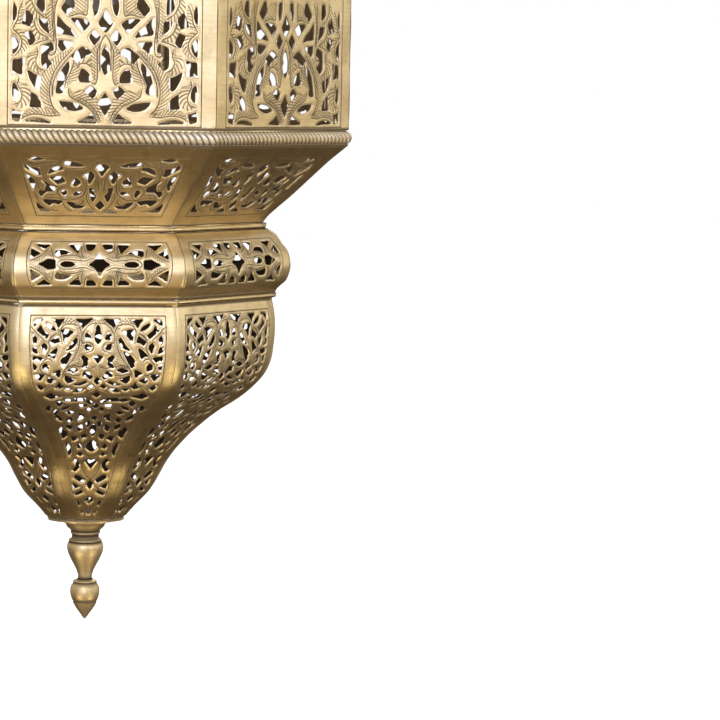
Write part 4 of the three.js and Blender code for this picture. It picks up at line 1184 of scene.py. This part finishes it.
def blob(points, faces, centre, angle, along, size, draw, rings=5, sides=10):
    """A small uneven drop of metal, longer along the side it lies on."""
    first = len(points)
    sine, cosine = math.sin(angle), math.cos(angle)
    for i in range(rings + 1):
        polar = math.pi * i / rings
        count = 1 if i in (0, rings) else sides
        for j in range(count):
            turn = 2 * math.pi * j / sides
            swell = 1 + draw.uniform(-0.12, 0.12)
            x = along * math.cos(polar) * swell
            across = size * math.sin(polar) * swell
            y, z = across * math.cos(turn), across * math.sin(turn)
            offset = (x * cosine - y * sine, x * sine + y * cosine, z)
            points.append([c + d for c, d in zip(centre, offset)])

    def ring(i, j):
        if i == 0:
            return first
        if i == rings:
            return first + 1 + (rings - 1) * sides
        return first + 1 + (i - 1) * sides + j % sides

    for i in range(rings):
        for j in range(sides):
            corners = [ring(i, j), ring(i + 1, j), ring(i + 1, j + 1), ring(i, j + 1)]
            faces.append(tuple(dict.fromkeys(corners)))


# ---------------------------------------------------------------- top: ring, link, loop and crown
def bar_loop_mesh(name, inner, wire, straight, middle, across="x", seed=41):
    """A closed bar of round section, oval when `straight` is not 0, with a brazed swelling at its joint."""
    draw = np.random.default_rng(seed)
    steps, sides = 96, 20
    points = []
    for i in range(steps):
        angle = 2 * math.pi * (i + 0.5) / steps
        shift = math.copysign(straight / 2, math.sin(angle)) + middle
        swell = 1 + 0.10 * math.exp(-((angle - math.pi * 1.02) / 0.10) ** 2) + draw.uniform(-0.008, 0.008)
        for j in range(sides):
            turn = 2 * math.pi * j / sides
            r, flat = inner + wire + wire * swell * math.cos(turn), wire * swell * math.sin(turn)
            side, up = r * math.cos(angle), r * math.sin(angle) + shift
            points.append((side, flat, up) if across == "x" else (flat, side, up))
    return facing_out(make_mesh(name, in_metres(points), tube_faces(steps, sides, closed=True)))


def add_bar_loop(name, node, body, across, seed):
    """Reads the bar's wire and openings off the CAD node's box."""
    low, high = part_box(node)
    size = (high - low) / MM
    width, wire = (size.x, size.y / 2) if across == "x" else (size.y, size.x / 2)
    inner = width / 2 - 2 * wire
    straight = max(size.z - width, 0)
    mesh = bar_loop_mesh(name, inner, wire, straight, (low.z + high.z) / 2 / MM, across, seed)
    add_piece(name, mesh, "trim", body=body, stands_for=[node])


def add_hanger():
    add_bar_loop("ring_bar", "hanging_ring", "ring", "x", 41)
    add_bar_loop("link_bar", "chain_link", "link", "y", 43)


TUBE_BORE = 5.3         # radius of the hole for the stem tube, mm
# The crown's turned outline: drop below its top and radius, mm.
CROWN_SHAPE = [
    (0, 9), (0.4, 9.6), (1, 9.8), (1.5, 12.2), (2.4, 13.6), (3.6, 14.4), (5, 14.6), (6.4, 14.2), (7.6, 13.2),
    (8.4, 12), (8.8, 11), (9.3, 10.6), (10.4, 10.5), (11, 10.8), (11.3, 12), (12, 12.4), (12.6, 12.2),
    (13, 14), (14, 17.5), (15.2, 21.8), (16.4, 26), (17.6, 30), (18.6, 33.6), (19.1, 34.6), (19.3, 37.2),
    (20, 38.6), (20.8, 39), (21.2, 40.6), (21.7, 41.4), (22.3, 41.5), (22.7, 41),
]


def add_crown():
    top, bottom, _ = extent("crown")
    reach = (bottom - top) / CROWN_SHAPE[-1][0]
    outline = [(top + d * reach, r) for d, r in CROWN_SHAPE]
    outline += [(bottom, TUBE_BORE), (top, TUBE_BORE)]
    mesh = bored_mesh("crown_turned", outline, 96)
    add_piece("crown_turned", mesh, "turned", stands_for=["crown"])


# ---------------------------------------------------------------- lamp inside
def add_lamp_holder():
    top, bottom, radius = extent("lamp_holder")
    socket, floor = radius - 2.5, top + 22.3
    outline = [(top, TUBE_BORE), (top, 9), (top + 0.6, 11.4), (top + 2.4, 14), (top + 5, 16.6),
               (top + 8, 18.4), (top + 11, 19.2), (top + 14, 19.3), (top + 14.4, 18.9), (top + 15, 18.9),
               (top + 15.4, 19.4), (bottom - 6, radius), (bottom - 5, radius - 0.5),
               (bottom - 4.4, radius - 0.5), (bottom - 3.4, radius), (bottom - 0.6, radius),
               (bottom, radius - 0.6), (bottom, radius - 2.4), (bottom - 2, socket), (floor, socket),
               (floor, TUBE_BORE)]
    mesh = bored_mesh("lamp_holder_glazed", outline, 56)
    add_piece("lamp_holder_glazed", mesh, "ceramic", stands_for=["lamp_holder"])


THREAD_PITCH = 3.6
THREAD_DEPTH = 0.5


def add_bulb_base():
    top, bottom, radius = extent("bulb_base")
    outline = [(top, 0), (top, 4.2), (top + 0.8, 4.8), (top + 2.5, 5.2), (top + 4.6, radius - 1.8)]
    for drop in np.linspace(top + 6, bottom - 2, 40):
        wave = math.cos((drop - top) * 2 * math.pi / THREAD_PITCH)
        outline.append((drop, radius - 0.55 + THREAD_DEPTH * wave))
    outline += [(bottom - 0.6, radius - 0.2), (bottom, radius - 0.4), (bottom, 0)]
    mesh = turned_mesh("bulb_base_threaded", outline, 48, 60)
    add_piece("bulb_base_threaded", mesh, "steel", stands_for=["bulb_base"])


GLASS_WALL = 0.9


def add_bulb_glass():
    """A pear of glass: outside down to the tip, inside back up to the open neck."""
    neck, tip, widest = extent("bulb_glass")
    radius, cap_from = widest - 0.1, neck + 58
    outline = [(neck, 13), (neck + 6, 13.3), (neck + 12, 14.4), (neck + 19, 16.8), (neck + 26, 20.2),
               (neck + 34, 24.2), (neck + 42, 27.6), (neck + 50, 29.5), (cap_from, radius)]
    for a in np.linspace(0.12, 1.52, 12):
        outline.append((cap_from + (tip - cap_from) * math.sin(a), radius * math.cos(a)))
    outline = [tuple(p) for p in open_curve(outline, 3)] + [(tip, 0)]
    inside = [(d, max(r - GLASS_WALL, 0)) for d, r in reversed(outline[:-2])]
    mesh = turned_mesh("bulb_envelope", [(tip - GLASS_WALL, 0)] + inside + outline, 56, 60)
    add_piece("bulb_envelope", mesh, "glass", stands_for=["bulb_glass"])


DRESSED = {
    "trim": ["hanging_loop"],
    "steel": ["stem_tube", "finial_nut", "door_hinge_pin"],
    "turned": ["door_hinge_fixed", "door_hinge_moving", "latch_keeper", "latch_button"],
}


def dress_cad_nodes():
    """Small fittings keep their CAD shape and take a worked metal."""
    for material, nodes in DRESSED.items():
        for node in nodes:
            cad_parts[node].material_slots[0].material = MATERIALS[material]


# ---------------------------------------------------------------- room
def add_floor():
    size, level = 12.0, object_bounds()[0][2] - 0.45
    corners = [(x * size, y * size, level) for x, y in ((-1, -1), (1, -1), (1, 1), (-1, 1))]
    mesh = bpy.data.meshes.new("floor")
    mesh.from_pydata(corners, [], [(0, 1, 2, 3)])
    floor = bpy.data.objects.new("floor", mesh)
    bpy.context.scene.collection.objects.link(floor)
    material, _, shader = new_material("pale_floor")
    shader.inputs["Base Color"].default_value = (0.9, 0.9, 0.9, 1)
    shader.inputs["Roughness"].default_value = 0.9
    shader.inputs["Emission Color"].default_value = (1, 1, 1, 1)
    shader.inputs["Emission Strength"].default_value = 0.7
    mesh.materials.append(material)
    floor.visible_glossy = False
    floor.visible_diffuse = False


LIT_MIDDLE = Vector((0, 0, -0.35))      # what every light points at


def area_light(name, place, size, power, colour=(1, 1, 1)):
    data = bpy.data.lights.new(name, "AREA")
    data.shape = "SQUARE"
    data.size = size
    data.energy = power
    data.color = colour
    light = bpy.data.objects.new(name, data)
    bpy.context.scene.collection.objects.link(light)
    light.location = place
    light.rotation_euler = (LIT_MIDDLE - Vector(place)).to_track_quat("-Z", "Y").to_euler()
    light.visible_camera = False


def add_lights():
    area_light("key", (-0.8, -2.6, 0.1), 1.8, 38, (0.82, 0.91, 1.30))
    area_light("key_right", (1.5, -2.3, 0.1), 0.9, 16, (0.88, 0.94, 1.2))
    area_light("fill_right", (2.5, -0.4, -0.1), 1.0, 5.0)
    for side in (-1, 1):
        area_light(f"low_gold_{side}", (1.5 * side, -1.3, -2.2), 1.0, 13, (1, 0.9, 0.62))
    area_light("back_fill", (0.6, 2.6, 0.8), 1.6, 30)


def add_world():
    """A soft warm room in reflections, brown below and pale above; white where the camera sees it."""
    world = bpy.data.worlds.new("studio")
    bpy.context.scene.world = world
    world.use_nodes = True
    tree = world.node_tree
    tree.nodes.clear()
    direction = tree.nodes.new("ShaderNodeTexCoord").outputs["Generated"]
    axes = tree.nodes.new("ShaderNodeSeparateXYZ")
    tree.links.new(direction, axes.inputs[0])
    forward = remap(tree, axes.outputs["Y"], -0.62, -0.1)
    below = mix_colour(tree, forward, (0.54, 0.41, 0.21, 1), (0.07, 0.047, 0.028, 1))
    height = remap(tree, axes.outputs["Z"], 0, 0.6)
    above = mix_colour(tree, height, (0.50, 0.47, 0.42, 1), (0.60, 0.61, 0.63, 1))
    around = mix_colour(tree, remap(tree, axes.outputs["Z"], -0.45, 0.05), below, above)
    seen = tree.nodes.new("ShaderNodeBackground")
    seen.inputs["Color"].default_value = (1, 1, 1, 1)
    lit = tree.nodes.new("ShaderNodeBackground")
    tree.links.new(around, lit.inputs["Color"])
    path = tree.nodes.new("ShaderNodeLightPath")
    mix = tree.nodes.new("ShaderNodeMixShader")
    tree.links.new(path.outputs["Is Camera Ray"], mix.inputs[0])
    tree.links.new(lit.outputs[0], mix.inputs[1])
    tree.links.new(seen.outputs[0], mix.inputs[2])
    output = tree.nodes.new("ShaderNodeOutputWorld")
    tree.links.new(mix.outputs[0], output.inputs["Surface"])
    bpy.context.scene.view_settings.view_transform = "Standard"


add_camera()
add_walls()
add_trims()
add_hems()
add_bottom_plate()
add_finial()
add_hanger()
add_crown()
add_lamp_holder()
add_bulb_base()
add_bulb_glass()
dress_cad_nodes()
add_floor()
add_lights()
add_world()
